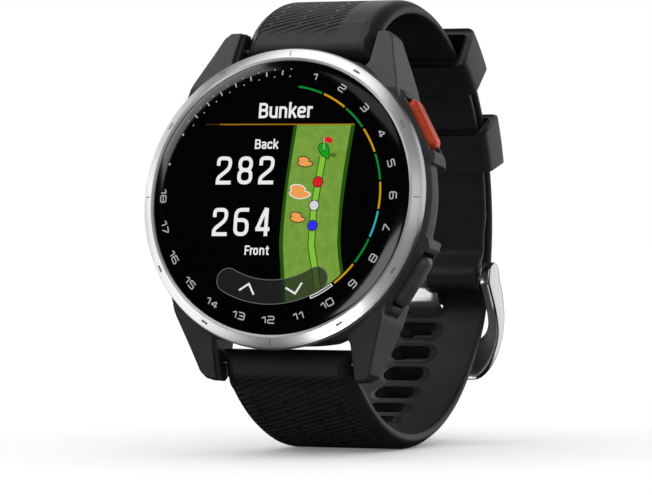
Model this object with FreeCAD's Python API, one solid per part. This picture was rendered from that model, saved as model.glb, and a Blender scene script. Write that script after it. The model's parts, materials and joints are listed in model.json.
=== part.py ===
import FreeCAD, Part
import math
import os
from FreeCAD import Vector

# A round golf watch, buckled shut and standing on its strap with the dial leaning back.
# Every piece is modelled in the watch's own frame, in millimetres: +X points to 3 o'clock,
# +Y to 12 o'clock and +Z out of the dial, with Z = 0 at the top of the bezel's inner edge.
# The last section stands the finished watch up, +Z up, with its origin under its middle.

# ---- driving dimensions -------------------------------------------------------------------
LEAN_DEG = 10.03          # how far the dial leans back when the watch stands

CASE_RADIUS = 21.75       # widest radius of the case
CASE_BACK_Z = -10.60      # underside of the case rim
CAVITY_RADIUS = 19.20     # inside of the case
CAVITY_TOP_Z = -2.40
LEDGE_RADIUS = 15.40      # ledge that the back cover is screwed to
LEDGE_TOP_Z = -8.90
LEDGE_BOTTOM_Z = -9.70
LUG_FLAT_Y = 19.70        # the case is cut flat between its lugs

GLASS_RADIUS = 19.40
GLASS_RISE = 0.95         # crown of the glass above the bezel
GLASS_FLAT_RADIUS = 16.50
GLASS_BOTTOM_Z = -0.60
BEZEL_RADIUS = 21.37
BEZEL_BOTTOM_Z = -1.55
BEZEL_SHELF_Z = -0.80

LUG_HALF_GAP = 10.20      # inner face of each lug
BAR_Y = 22.30             # spring bar through the lugs
BAR_Z = -7.60
BAR_RADIUS = 0.75

STRAP_HALF_WIDTH = 9.90
STRAP_ROOT_RADIUS = 1.95
UPPER_THICKNESS = 2.10
LOWER_THICKNESS = 2.30
LAYER_GAP = 0.40          # between the two strap layers at the back of the wrist

LOOP_Z = -22.80           # centre of the arc at the back of the wrist, on Y = 0
LOOP_RADIUS = 31.20       # inner face of the upper strap on that arc
TAIL_RADIUS = LOOP_RADIUS + UPPER_THICKNESS + LAYER_GAP
TAIL_OUTER_RADIUS = TAIL_RADIUS + LOWER_THICKNESS
TAIL_TIP_DEG = 58.0

HOLE_WIDTH = 6.20         # adjustment slots of the lower strap
HOLE_HEIGHT = 2.70
HOLE_PITCH = 4.30
HOLES_BELOW = 6           # slots between the tongue's slot and the lug
HOLES_ABOVE = 4           # slots in the tail above the tongue's slot

BUCKLE_DEG = -4.90        # buckle bar, on the inner arc of the upper strap
BARREL_RADIUS = 2.05
BARREL_HALF_WIDTH = 9.60
BUCKLE_BAR_RADIUS = 0.75
RUNNING_GAP = 0.05        # radial clearance of every turning or sliding shaft

KEEPER_WALL = 1.20
KEEPER_SIDE_WALL = 1.40
KEEPER_GAP = 0.20
KEEPER_LENGTH_DEG = 11.40
UPPER_KEEPER_DEG = 55.60
LOWER_KEEPER_DEG = 30.70

BUTTON_CLOCK_DEG = {"action": 60.0, "back": 120.0}
BUTTON_Z = -4.85
BUTTON_HALF_LENGTH = 4.15
BUTTON_HALF_HEIGHT = 1.55
BUTTON_BASE_RADIUS = 21.35
BUTTON_FACE_RADIUS = 23.45
BUTTON_SLOT_RADIUS = 20.75
BUTTON_SLOT_GAP = 0.15
GUARD_RADIUS = 21.95
STEM_RADIUS = 0.80

SCREW_RADIUS = 17.40      # pitch radius of the back cover's screws
SCREW_CLOCK_DEG = (30.0, 150.0, 210.0, 330.0)

PORT_Y = -12.00           # charging port in the back cover

MOTOR_Y = 12.40           # vibration motor


# ---- small helpers ------------------------------------------------------------------------
def block(x0, x1, y0, y1, z0, z1):
    """A box between the given corners."""
    return Part.makeBox(x1 - x0, y1 - y0, z1 - z0, Vector(x0, y0, z0))


def disc(radius, z0, z1, x=0.0, y=0.0):
    """A cylinder along Z from z0 up to z1."""
    return Part.makeCylinder(radius, z1 - z0, Vector(x, y, z0), Vector(0, 0, 1))


def ring(inner, outer, z0, z1, x=0.0, y=0.0):
    return disc(outer, z0, z1, x, y).cut(disc(inner, z0 - 1, z1 + 1, x, y))


def rod_x(radius, x0, x1, y, z):
    """A cylinder along X from x0 to x1."""
    return Part.makeCylinder(radius, x1 - x0, Vector(x0, y, z), Vector(1, 0, 0))


def revolved(points):
    """A closed outline of (radius, z) points turned about the watch's axis."""
    outline = [Vector(r, 0, z) for r, z in points]
    face = Part.Face(Part.makePolygon(outline + outline[:1]))
    return face.revolve(Vector(0, 0, 0), Vector(0, 0, 1), 360)


def prism_x(points, x0, x1):
    """A closed outline of (y, z) points extruded along X."""
    outline = [Vector(x0, y, z) for y, z in points]
    return Part.Face(Part.makePolygon(outline + outline[:1])).extrude(Vector(x1 - x0, 0, 0))


def prism_z(points, z0, z1):
    """A closed outline of (x, y) points extruded along Z."""
    outline = [Vector(x, y, z0) for x, y in points]
    return Part.Face(Part.makePolygon(outline + outline[:1])).extrude(Vector(0, 0, z1 - z0))


def strip_x(points, thickness, x0, x1):
    """Bent sheet metal: a strip of one thickness that follows (y, z) points, x0 to x1 wide."""
    half = thickness / 2
    pieces = []
    for (ya, za), (yb, zb) in zip(points, points[1:]):
        length = math.hypot(yb - ya, zb - za)
        ny = -(zb - za) / length * half
        nz = (yb - ya) / length * half
        corners = [(ya + ny, za + nz), (yb + ny, zb + nz), (yb - ny, zb - nz), (ya - ny, za - nz)]
        pieces.append(prism_x(corners, x0, x1))
    for y, z in points[1:-1]:
        pieces.append(rod_x(half, x0, x1, y, z))
    return joined(pieces)


def joined(shapes):
    """One solid from shapes that touch or overlap."""
    whole = shapes[0].multiFuse(shapes[1:]) if len(shapes) > 1 else shapes[0]
    return whole.removeSplitter()


def group(shapes):
    """Separate solids kept in one node."""
    return Part.makeCompound(shapes)


def on_clock(shape, clock_deg):
    """Turns a shape built at 3 o'clock to another place round the dial."""
    turned = shape.copy()
    turned.rotate(Vector(0, 0, 0), Vector(0, 0, 1), 90 - clock_deg)
    return turned


def mirrored_y(shape):
    return shape.mirror(Vector(0, 0, 0), Vector(0, 1, 0))


def mirrored_x(shape):
    return shape.mirror(Vector(0, 0, 0), Vector(1, 0, 0))


# ---- the strap's side view: arcs that meet with one tangent ----------------------------------
def outward(deg):
    """Unit (y, z) vector; 0 degrees points away from the dial and 90 degrees to 12 o'clock."""
    return math.sin(math.radians(deg)), -math.cos(math.radians(deg))


def arc_run(start_deg, steps):
    """Arcs about shared normals, starting on the loop's own centre.
    A step is ("arc", radius, end angle) or ("straight", length)."""
    cy, cz = 0.0, LOOP_Z
    deg = start_deg
    last_radius = None
    arcs = []
    for kind, *values in steps:
        uy, uz = outward(deg)
        if kind == "straight":
            cy += values[0] * uz
            cz -= values[0] * uy
            continue
        radius, end_deg = values
        if last_radius is not None:
            cy += (last_radius - radius) * uy
            cz += (last_radius - radius) * uz
        arcs.append((cy, cz, radius, deg, end_deg))
        last_radius, deg = radius, end_deg
    return arcs


def run_point(arc, offset, deg):
    cy, cz, radius, _, _ = arc
    uy, uz = outward(deg)
    return Vector(0, cy + (radius + offset) * uy, cz + (radius + offset) * uz)


def run_edges(arcs, offset):
    """Edges of a run, moved outward by offset."""
    edges = []
    end = None
    for arc in arcs:
        start_deg, end_deg = arc[3], arc[4]
        start = run_point(arc, offset, start_deg)
        if end is not None and end.distanceToPoint(start) > 1e-6:
            edges.append(Part.LineSegment(end, start).toShape())
        end = run_point(arc, offset, end_deg)
        middle = run_point(arc, offset, (start_deg + end_deg) / 2)
        edges.append(Part.Arc(start, middle, end).toShape())
    return edges


def run_solid(arcs, thickness, half_width):
    """A strap of one thickness along a run, with flat ends."""
    inner = run_edges(arcs, 0)
    outer = run_edges(arcs, thickness)
    starts = [run_point(arcs[0], offset, arcs[0][3]) for offset in (0, thickness)]
    ends = [run_point(arcs[-1], offset, arcs[-1][4]) for offset in (0, thickness)]
    caps = [Part.LineSegment(*pair).toShape() for pair in (starts, ends)]
    face = Part.Face(Part.Wire(Part.__sortEdges__(inner + outer + caps)))
    face.translate(Vector(-half_width, 0, 0))
    return face.extrude(Vector(2 * half_width, 0, 0))


UPPER_RUN = arc_run(BUCKLE_DEG, [
    ("arc", LOOP_RADIUS, 70.94),
    ("arc", 24.20, 114.60),
    ("arc", 18.35, 131.00),
])
LOWER_RUN = arc_run(TAIL_TIP_DEG, [
    ("arc", TAIL_RADIUS, -13.30),
    ("arc", 16.00, -32.00),
    ("straight", 3.70),
    ("arc", 29.14, -122.40),
])


def place_along(distance):
    """(y, z, angle) on the inner face of the lower strap, measured down from the tongue's slot."""
    deg = TONGUE_SLOT_DEG
    left = distance
    end = None
    for arc in LOWER_RUN:
        start_deg, end_deg = arc[3], arc[4]
        if end_deg > deg:
            continue
        start_deg = min(start_deg, deg)
        start = run_point(arc, 0, start_deg)
        if end is not None:
            gap = end.distanceToPoint(start)
            if left < gap:
                point = end + (start - end) * (left / gap)
                return point.y, point.z, start_deg
            left -= gap
        length = arc[2] * math.radians(start_deg - end_deg)
        if left <= length:
            stop_deg = start_deg - math.degrees(left / arc[2])
            point = run_point(arc, 0, stop_deg)
            return point.y, point.z, stop_deg
        left -= length
        end = run_point(arc, 0, end_deg)
    raise ValueError("the strap is too short for its slots")


TONGUE_SLOT_DEG = -11.60
BUCKLE_Y = LOOP_RADIUS * outward(BUCKLE_DEG)[0]
BUCKLE_Z = LOOP_Z + LOOP_RADIUS * outward(BUCKLE_DEG)[1]


# ---- watch head: case, bezel, glass ---------------------------------------------------------
def lug():
    """The lug between 12 and 3 o'clock: a plan outline cut to its side outline."""
    plan = prism_z([(10.20, 16.0), (10.20, 24.9), (12.10, 24.8), (12.95, 23.9), (13.95, 21.0),
                    (15.60, 16.6), (16.40, 13.6), (12.0, 13.0)], CASE_BACK_Z, -1.0)
    side = prism_x([(13.0, -1.62), (15.8, -1.70), (24.75, -6.15), (25.05, -7.0), (25.0, -8.6),
                    (24.1, -9.7), (20.0, -10.4), (13.0, CASE_BACK_Z)], 9.0, 18.0)
    inner_bevel = prism_z([(10.0, 18.0), (11.1, 20.0), (11.1, 26.0), (10.0, 26.0)], -12.0, 0.0)
    bevel_side = prism_x([(14.0, -0.8), (19.0, -3.4), (25.2, -6.5), (25.2, -7.6), (19.0, -4.5),
                          (14.0, -2.0)], 9.0, 12.0)
    bevel = inner_bevel.common(bevel_side)
    bevel.translate(Vector(-0.55, 0, 0.35))
    return plan.common(side).cut(bevel)


def button_guard():
    """The raised block round a button, built at 3 o'clock."""
    outline = [(18.9, -6.2), (21.3, -6.2), (GUARD_RADIUS, -5.2), (GUARD_RADIUS, 5.2),
               (21.3, 6.2), (18.9, 6.2)]
    side = [(18.0, -2.9), (21.5, -2.9), (22.2, -3.5), (22.2, -6.9), (20.9, -8.4), (18.0, -8.4)]
    plan = prism_z(outline, -8.4, -2.9)
    section = [Vector(r, -7, z) for r, z in side]
    profile = Part.Face(Part.makePolygon(section + section[:1])).extrude(Vector(0, 14, 0))
    return plan.common(profile)


def button_openings():
    """What a button needs taken out of the case: its slot, the stem's bore and the seal's seat."""
    half_length = BUTTON_HALF_LENGTH + BUTTON_SLOT_GAP
    half_height = BUTTON_HALF_HEIGHT + BUTTON_SLOT_GAP
    slot = block(BUTTON_SLOT_RADIUS, 26.0, -half_length, half_length,
                 BUTTON_Z - half_height, BUTTON_Z + half_height)
    bore = rod_x(STEM_RADIUS + RUNNING_GAP, 18.0, 22.0, 0, BUTTON_Z)
    seat = rod_x(1.25, 18.0, 20.2, 0, BUTTON_Z)
    return joined([slot, bore, seat])


def case_body():
    shell = revolved([(20.60, -1.60), (20.95, -1.60), (21.65, -3.10), (CASE_RADIUS, -4.80),
                      (21.20, -6.60), (20.30, -8.60), (19.30, CASE_BACK_Z),
                      (18.60, CASE_BACK_Z), (18.60, LEDGE_BOTTOM_Z), (LEDGE_RADIUS, LEDGE_BOTTOM_Z),
                      (LEDGE_RADIUS, LEDGE_TOP_Z), (CAVITY_RADIUS, LEDGE_TOP_Z),
                      (CAVITY_RADIUS, CAVITY_TOP_Z), (20.60, CAVITY_TOP_Z)])
    upper_right = lug()
    lugs = [upper_right, mirrored_x(upper_right), mirrored_y(upper_right),
            mirrored_y(mirrored_x(upper_right))]
    guards = [on_clock(button_guard(), clock) for clock in BUTTON_CLOCK_DEG.values()]
    bosses = [on_clock(disc(1.20, LEDGE_TOP_Z - 0.1, -7.40, SCREW_RADIUS, 0), clock)
              for clock in SCREW_CLOCK_DEG]
    bosses += [on_clock(block(SCREW_RADIUS, 19.4, -0.7, 0.7, LEDGE_TOP_Z - 0.1, -7.40), clock)
               for clock in SCREW_CLOCK_DEG]
    cavity = joined([disc(CAVITY_RADIUS, LEDGE_TOP_Z, CAVITY_TOP_Z), disc(20.60, CAVITY_TOP_Z, 0),
                     disc(18.60, -12.0, LEDGE_BOTTOM_Z)])
    cavity = cavity.fuse(disc(LEDGE_RADIUS, -12.0, 0))
    outside = joined([shell] + lugs + guards).cut(cavity)
    for sign in (1, -1):
        flat = block(-LUG_HALF_GAP, LUG_HALF_GAP, LUG_FLAT_Y, 27.0, -12.0, 0.0)
        outside = outside.cut(flat if sign > 0 else mirrored_y(flat))
        outside = outside.cut(rod_x(0.50, -11.40, 11.40, sign * BAR_Y, BAR_Z))
    for clock in BUTTON_CLOCK_DEG.values():
        outside = outside.cut(on_clock(button_openings(), clock))
    whole = joined([outside] + bosses)
    for clock in SCREW_CLOCK_DEG:
        whole = whole.cut(on_clock(disc(0.60, -11.0, -7.90, SCREW_RADIUS, 0), clock))
    return whole


def bezel():
    """A turned ring whose face slopes down to its rim, with engraved hour marks."""
    metal = revolved([(19.42, -0.10), (19.80, 0.0), (21.08, -0.63), (21.16, -0.72),
                      (BEZEL_RADIUS, BEZEL_BOTTOM_Z), (20.55, BEZEL_BOTTOM_Z), (20.55, -2.30),
                      (18.10, -2.30), (18.10, BEZEL_SHELF_Z), (19.42, BEZEL_SHELF_Z)])
    slope = math.degrees(math.atan2(0.63, 1.28))
    for hour in range(12):
        if hour % 3 == 0:
            mark = block(-0.46, 0.46, -0.08, 0.08, -0.07, 0.30)
        else:
            mark = block(-0.18, 0.18, -0.53, 0.53, -0.07, 0.30)
        mark.rotate(Vector(0, 0, 0), Vector(0, 1, 0), slope)
        mark.translate(Vector(20.44, 0, -0.315))
        metal = metal.cut(on_clock(mark, 30.0 * hour))
    return metal


def glass():
    """Domed cover glass: flat in the middle and rolled down to the bezel all round."""
    rim_top = Vector(GLASS_RADIUS, 0, -0.05)
    shoulder = Vector(18.55, 0, 0.52)
    flat_edge = Vector(GLASS_FLAT_RADIUS, 0, GLASS_RISE)
    outline = [
        Part.LineSegment(Vector(0, 0, GLASS_BOTTOM_Z), Vector(GLASS_RADIUS, 0, GLASS_BOTTOM_Z)),
        Part.LineSegment(Vector(GLASS_RADIUS, 0, GLASS_BOTTOM_Z), rim_top),
        Part.Arc(rim_top, shoulder, flat_edge),
        Part.LineSegment(flat_edge, Vector(0, 0, GLASS_RISE)),
        Part.LineSegment(Vector(0, 0, GLASS_RISE), Vector(0, 0, GLASS_BOTTOM_Z)),
    ]
    face = Part.Face(Part.Wire([edge.toShape() for edge in outline]))
    return face.revolve(Vector(0, 0, 0), Vector(0, 0, 1), 360)


# ---- inside the case -------------------------------------------------------------------------
def switch_notches(inner_radius, z0, z1):
    """Room for the two switches in a round part of the stack."""
    return [on_clock(block(inner_radius, 20.0, -2.4, 2.4, z0, z1), clock)
            for clock in BUTTON_CLOCK_DEG.values()]


def inner_frame():
    """Moulded carrier: a plate under the display and a skirt that stands on the screw bosses."""
    frame = disc(16.90, -3.25, -2.45).fuse(ring(15.90, 16.90, -7.35, -3.25))
    frame = frame.cut(disc(6.0, -4.0, -2.0, 0, 2.0))
    frame = frame.cut(block(-5.0, 5.0, -17.5, -14.6, -8.0, -2.0))
    frame = frame.cut(block(-17.5, -15.0, -1.0, 1.0, -3.6, -3.2))
    for notch in switch_notches(14.4, -8.0, -3.3):
        frame = frame.cut(notch)
    return frame


def display_flex():
    """Ribbon from the display's lower edge, folded back to the main board."""
    return strip_x([(-11.0, -2.28), (-15.4, -2.28), (-15.4, -4.62), (-13.2, -4.62)], 0.16, -4, 4)


def main_board():
    board = disc(15.50, -4.30, -3.50)
    for notch in switch_notches(14.4, -5.0, -3.0):
        board = board.cut(notch)
    return board.cut(block(-5.0, 5.0, -17.0, -14.2, -5.0, -3.0))


def shield_cans():
    """Two pressed lids soldered over the processor and the radio."""
    cans = []
    for x0, x1, y0, y1 in ((-10.5, -1.0, -7.0, 4.0), (0.5, 10.0, -6.0, 3.0)):
        lid = block(x0, x1, y0, y1, -5.50, -4.30)
        cans.append(lid.cut(block(x0 + 0.2, x1 - 0.2, y0 + 0.2, y1 - 0.2, -5.30, -4.20)))
    return group(cans)


def board_chips():
    """The packages under the lids."""
    return group([block(-9.0, -3.0, -5.5, 0.5, -5.20, -4.30), block(-9.0, -4.0, 1.2, 3.4, -5.0, -4.30),
                  block(2.0, 7.0, -4.0, 1.0, -5.10, -4.30)])


def battery():
    """Pouch cell with its folded edges."""
    cell = block(-10.0, 10.0, -9.9, 8.8, -9.60, -5.85)
    return cell.makeFillet(0.9, [edge for edge in cell.Edges if edge.BoundBox.ZLength > 3])


def motor_can():
    return disc(3.0, -8.60, -6.00, 0, MOTOR_Y).cut(disc(2.70, -9.0, -6.25, 0, MOTOR_Y))


def motor_base():
    """Bottom plate of the motor, with the shaft that the weight turns on."""
    plate = disc(2.66, -8.60, -8.35, 0, MOTOR_Y)
    return joined([plate, disc(0.40, -8.40, -6.30, 0, MOTOR_Y)])


def motor_rotor():
    """Half-round weight on a hub."""
    weight = disc(2.45, -8.15, -6.55, 0, MOTOR_Y).cut(block(-4, 4, MOTOR_Y - 4, MOTOR_Y, -9, -6))
    hub = disc(0.90, -8.20, -6.45, 0, MOTOR_Y)
    return joined([weight, hub]).cut(disc(0.40 + RUNNING_GAP, -9, -6, 0, MOTOR_Y))


def antenna():
    """Positioning antenna on a ring under the bezel, open at 9 o'clock."""
    return ring(17.60, 19.00, -3.00, -2.45).cut(block(-20, -15, -2.2, 2.2, -4, -2))


def bezel_contact():
    """Spring clip from the main board up to the bezel, in the antenna's gap."""
    clip = strip_x([(14.9, -3.38), (17.5, -3.38), (17.5, -2.43), (18.4, -2.43)], 0.20, -0.8, 0.8)
    clip.rotate(Vector(0, 0, 0), Vector(0, 0, 1), 90)
    return clip


def button_flex():
    """Flexible circuit behind the two side switches."""
    strip = ring(14.45, 14.60, -6.0, -4.5)
    lowest, highest = BUTTON_CLOCK_DEG["back"] + 8, BUTTON_CLOCK_DEG["action"] - 8
    reach = 20.0
    wedge = [(0, 0)]
    for clock in (lowest, 90.0, highest):
        wedge.append((reach * math.sin(math.radians(clock)), reach * math.cos(math.radians(clock))))
    return strip.common(prism_z(wedge, -7, -4))


def back_cover():
    """Moulded cover with a shallow dished face, held by four screws."""
    cover = revolved([(0, -9.95), (18.50, -9.95), (18.50, -10.75), (17.90, -11.05), (0, -11.05)])
    cover = cover.cut(block(-4.25, 4.25, PORT_Y - 2.55, PORT_Y + 2.55, -12, -9))
    for clock in SCREW_CLOCK_DEG:
        cover = cover.cut(on_clock(disc(0.65, -12, -9, SCREW_RADIUS, 0), clock))
        cover = cover.cut(on_clock(disc(1.05, -12, -10.45, SCREW_RADIUS, 0), clock))
    return cover


def back_screws():
    """Four small screws with a six-lobed drive, drawn as a hexagon."""
    screws = []
    for clock in SCREW_CLOCK_DEG:
        head = disc(0.98, -11.0, -10.47, SCREW_RADIUS, 0)
        drive = [(SCREW_RADIUS + 0.45 * math.cos(math.radians(60 * k)),
                  0.45 * math.sin(math.radians(60 * k))) for k in range(6)]
        head = head.cut(prism_z(drive, -11.2, -10.75))
        screws.append(on_clock(joined([head, disc(0.55, -10.5, -8.0, SCREW_RADIUS, 0)]), clock))
    return group(screws)


def port_housing():
    """Insulating socket for the charging plug."""
    body = block(-4.2, 4.2, PORT_Y - 2.5, PORT_Y + 2.5, -10.95, -9.75)
    body = body.cut(block(-3.4, 3.4, PORT_Y - 1.6, PORT_Y + 1.6, -12, -10.15))
    for x in PORT_PINS_X:
        body = body.cut(disc(0.36, -11, -9, x, PORT_Y))
    return body


PORT_PINS_X = (-2.25, -0.75, 0.75, 2.25)


def port_contacts():
    return group([disc(0.35, -10.60, -9.30, x, PORT_Y) for x in PORT_PINS_X])


# ---- buttons: cap, stem, seal, clip and switch, each built at 3 o'clock -------------------------
def button_cap(grip_lines):
    """A bar with bevelled long edges and rounded ends."""
    low, high = BUTTON_Z - BUTTON_HALF_HEIGHT, BUTTON_Z + BUTTON_HALF_HEIGHT
    face, base = BUTTON_FACE_RADIUS, BUTTON_BASE_RADIUS
    section = [(base, low), (22.45, low), (face - 0.1, low + 0.85), (face, BUTTON_Z),
               (face - 0.1, high - 0.85), (22.45, high), (base, high)]
    corners = [Vector(r, -5, z) for r, z in section]
    bar = Part.Face(Part.makePolygon(corners + corners[:1])).extrude(Vector(0, 10, 0))
    half = BUTTON_HALF_LENGTH
    ends = [(base, -half), (22.2, -half), (22.75, -half + 0.3), (23.3, -half + 1.3),
            (face + 0.1, -half + 2.2)]
    plan = ends + [(r, -t) for r, t in reversed(ends)]
    cap = bar.common(prism_z(plan, low - 1, high + 1))
    if grip_lines:
        for z in (BUTTON_Z - 0.30, BUTTON_Z + 0.30):
            cap = cap.cut(block(face - 0.20, face + 1, -2.7, 2.7, z - 0.10, z + 0.10))
    return cap


def button_stem():
    return rod_x(STEM_RADIUS, 17.90, BUTTON_BASE_RADIUS, 0, BUTTON_Z)


def button_seal():
    """O-ring on the stem, in its seat in the case wall."""
    return Part.makeTorus(1.03, 0.20, Vector(19.80, 0, BUTTON_Z), Vector(1, 0, 0))


def button_clip():
    """Retaining clip that stops the stem at the inside of the wall."""
    clip = rod_x(1.60, 18.74, 19.04, 0, BUTTON_Z).cut(rod_x(0.82, 18, 20, 0, BUTTON_Z))
    return clip.cut(block(18, 20, -0.6, 0.6, BUTTON_Z - 3, BUTTON_Z))


def switch_plunger():
    return rod_x(0.60, 16.40, 17.90, 0, BUTTON_Z)


def switch_housing():
    body = block(14.75, 17.20, -1.8, 1.8, BUTTON_Z - 1.35, BUTTON_Z + 1.35)
    return body.cut(rod_x(0.60 + RUNNING_GAP, 15.75, 18, 0, BUTTON_Z))


# ---- spring bars with a quick-release lever, built for the upper strap ---------------------------
def bar_tube():
    tube = rod_x(BAR_RADIUS, -9.0, 9.0, BAR_Y, BAR_Z).cut(rod_x(0.52, -10, 10, BAR_Y, BAR_Z))
    return tube.cut(block(5.10, 7.20, BAR_Y - 0.5, BAR_Y + 0.5, BAR_Z - 2, BAR_Z))


def bar_fixed_tip():
    return joined([rod_x(0.42, -11.10, -9.0, BAR_Y, BAR_Z), rod_x(0.47, -9.05, -6.5, BAR_Y, BAR_Z)])


def bar_release_tip():
    """Sliding tip; its lever stands out through the slot in the tube."""
    pin = joined([rod_x(0.42, 9.0, 11.10, BAR_Y, BAR_Z), rod_x(0.47, 5.0, 9.05, BAR_Y, BAR_Z)])
    lever = Part.makeCylinder(0.40, 2.05, Vector(6.70, BAR_Y, BAR_Z), Vector(0, 0, -1))
    return joined([pin, lever])


def bar_spring():
    """Coil inside the tube, as a sleeve of its outside size at its pressed length."""
    return rod_x(0.47, -6.45, 3.70, BAR_Y, BAR_Z).cut(rod_x(0.30, -7, 5, BAR_Y, BAR_Z))


# ---- straps --------------------------------------------------------------------------------------
def strap_root(arc_end, side):
    """The eye round the spring bar and the neck that joins it to the strap. side is +1 or -1."""
    arc, thickness = arc_end
    inner = run_point(arc, 0, arc[4])
    outer = run_point(arc, thickness, arc[4])
    eye = rod_x(STRAP_ROOT_RADIUS, -STRAP_HALF_WIDTH, STRAP_HALF_WIDTH, side * BAR_Y, BAR_Z)
    front = (side * (BAR_Y + 0.95), BAR_Z + 1.70)
    back = (side * (BAR_Y - 0.95), BAR_Z - 1.70)
    neck = prism_x([(inner.y, inner.z), (outer.y, outer.z), front, back],
                   -STRAP_HALF_WIDTH, STRAP_HALF_WIDTH)
    return [eye, neck]


def strap_root_cuts(side):
    """The bore for the spring bar and the window for its lever."""
    bore = rod_x(BAR_RADIUS + RUNNING_GAP, -11, 11, side * BAR_Y, BAR_Z)
    y0, y1 = sorted((side * (BAR_Y - 0.9), side * (BAR_Y + 0.9)))
    window = block(4.60, 7.60, y0, y1, BAR_Z - 4.2, BAR_Z)
    return [bore, window]


def upper_strap():
    """Short strap: spring-bar eye at the lugs, buckle barrel with a gap for the tongue."""
    band = run_solid(UPPER_RUN, UPPER_THICKNESS, STRAP_HALF_WIDTH)
    barrel = rod_x(BARREL_RADIUS, -BARREL_HALF_WIDTH, BARREL_HALF_WIDTH, BUCKLE_Y, BUCKLE_Z)
    strap = joined([band, barrel] + strap_root((UPPER_RUN[-1], UPPER_THICKNESS), 1))
    for cutter in strap_root_cuts(1):
        strap = strap.cut(cutter)
    strap = strap.cut(rod_x(BUCKLE_BAR_RADIUS + RUNNING_GAP, -11, 11, BUCKLE_Y, BUCKLE_Z))
    tongue_gap = block(-1.9, 1.9, BUCKLE_Y - 3.0, BUCKLE_Y + 2.3, BUCKLE_Z - 2.6, BUCKLE_Z + 2.6)
    return strap.cut(tongue_gap)


def slot_cutter():
    """A slot with round ends, long across the strap, cut along Z through the origin."""
    half = (HOLE_WIDTH - HOLE_HEIGHT) / 2
    slab = block(-half, half, -HOLE_HEIGHT / 2, HOLE_HEIGHT / 2, -6, 6)
    return joined([slab, disc(HOLE_HEIGHT / 2, -6, 6, half, 0), disc(HOLE_HEIGHT / 2, -6, 6, -half, 0)])


def slot_at(y, z, deg):
    """The cutter turned so that it goes through the strap at that place."""
    cutter = slot_cutter()
    cutter.rotate(Vector(0, 0, 0), Vector(1, 0, 0), deg)
    cutter.translate(Vector(0, y, z))
    return cutter


def lower_strap():
    """Long strap: it runs under the wrist, through the buckle and up under both keepers."""
    band = run_solid(LOWER_RUN, LOWER_THICKNESS, STRAP_HALF_WIDTH)
    strap = joined([band] + strap_root((LOWER_RUN[-1], LOWER_THICKNESS), -1))
    for cutter in strap_root_cuts(-1):
        strap = strap.cut(cutter)
    for count in range(HOLES_BELOW + 1):
        strap = strap.cut(slot_at(*place_along(HOLE_PITCH * count)))
    step_deg = math.degrees(HOLE_PITCH / TAIL_RADIUS)
    for count in range(1, HOLES_ABOVE + 1):
        deg = TONGUE_SLOT_DEG + step_deg * count
        point = run_point(LOWER_RUN[0], 0, deg)
        strap = strap.cut(slot_at(point.y, point.z, deg))
    return strap


# ---- buckle and keepers ----------------------------------------------------------------------------
FRAME_INNER_HALF_WIDTH = 10.30
FRAME_HALF_WIDTH = 12.00


def buckle_bar():
    return rod_x(BUCKLE_BAR_RADIUS, -11.60, 11.60, BUCKLE_Y, BUCKLE_Z)


def rounded_plan(half_width, y0, y1, radius):
    """A plan outline, open at y1, whose two corners at y0 are rounded, as (x, y) points."""
    points = [(-half_width, y1)]
    for corner_x, start in ((-half_width + radius, 180), (half_width - radius, 270)):
        for step in range(7):
            angle = math.radians(start + 15 * step)
            points.append((corner_x + radius * math.cos(angle), y0 + radius + radius * math.sin(angle)))
    points.append((half_width, y1))
    return points


def buckle_frame():
    """A cranked loop: two arms from the bar, joined by a wide end bar with a seat for the tongue."""
    side = prism_x([(-1.90, -56.10), (-4.40, -58.10), (-7.10, -59.15), (-9.80, -59.45), (-13.0, -59.40),
                    (-17.40, -58.90), (-17.30, -57.10), (-12.8, -57.45), (-10.8, -57.15), (-7.7, -55.4),
                    (-5.1, -53.2), (-1.6, -52.2)],
                   -FRAME_HALF_WIDTH, FRAME_HALF_WIDTH)
    plan = prism_z(rounded_plan(FRAME_HALF_WIDTH, -17.60, 1.0, 4.6), -61, -50)
    window = prism_z(rounded_plan(FRAME_INNER_HALF_WIDTH, -12.10, 1.5, 2.4), -61, -50)
    eyes = rod_x(2.35, -FRAME_HALF_WIDTH, FRAME_HALF_WIDTH, BUCKLE_Y, BUCKLE_Z)
    frame = joined([side, eyes]).common(plan).cut(window)
    frame = frame.cut(rod_x(BUCKLE_BAR_RADIUS + RUNNING_GAP, -11.65, 11.65, BUCKLE_Y, BUCKLE_Z))
    return frame.cut(block(-2.8, 2.8, -18.0, -11.5, -61.0, -58.75))


def buckle_tongue():
    """Bent plate: an eye on the bar, down the wrist side, out through the slot, tip on the end bar."""
    eye = rod_x(1.50, -1.50, 1.50, BUCKLE_Y, BUCKLE_Z)
    neck = strip_x([(BUCKLE_Y, -53.6), (-4.4, -54.1), (-5.6, -54.55)], 0.80, -1.50, 1.50)
    plate = strip_x([(-5.2, -54.45), (-6.35, -55.0), (-7.55, -57.4), (-8.6, -58.8),
                     (-10.6, -59.35), (-15.6, -59.40)], 0.80, -2.40, 2.40)
    tongue = joined([eye, neck, plate])
    return tongue.cut(rod_x(BUCKLE_BAR_RADIUS + RUNNING_GAP, -3, 3, BUCKLE_Y, BUCKLE_Z))


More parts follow.
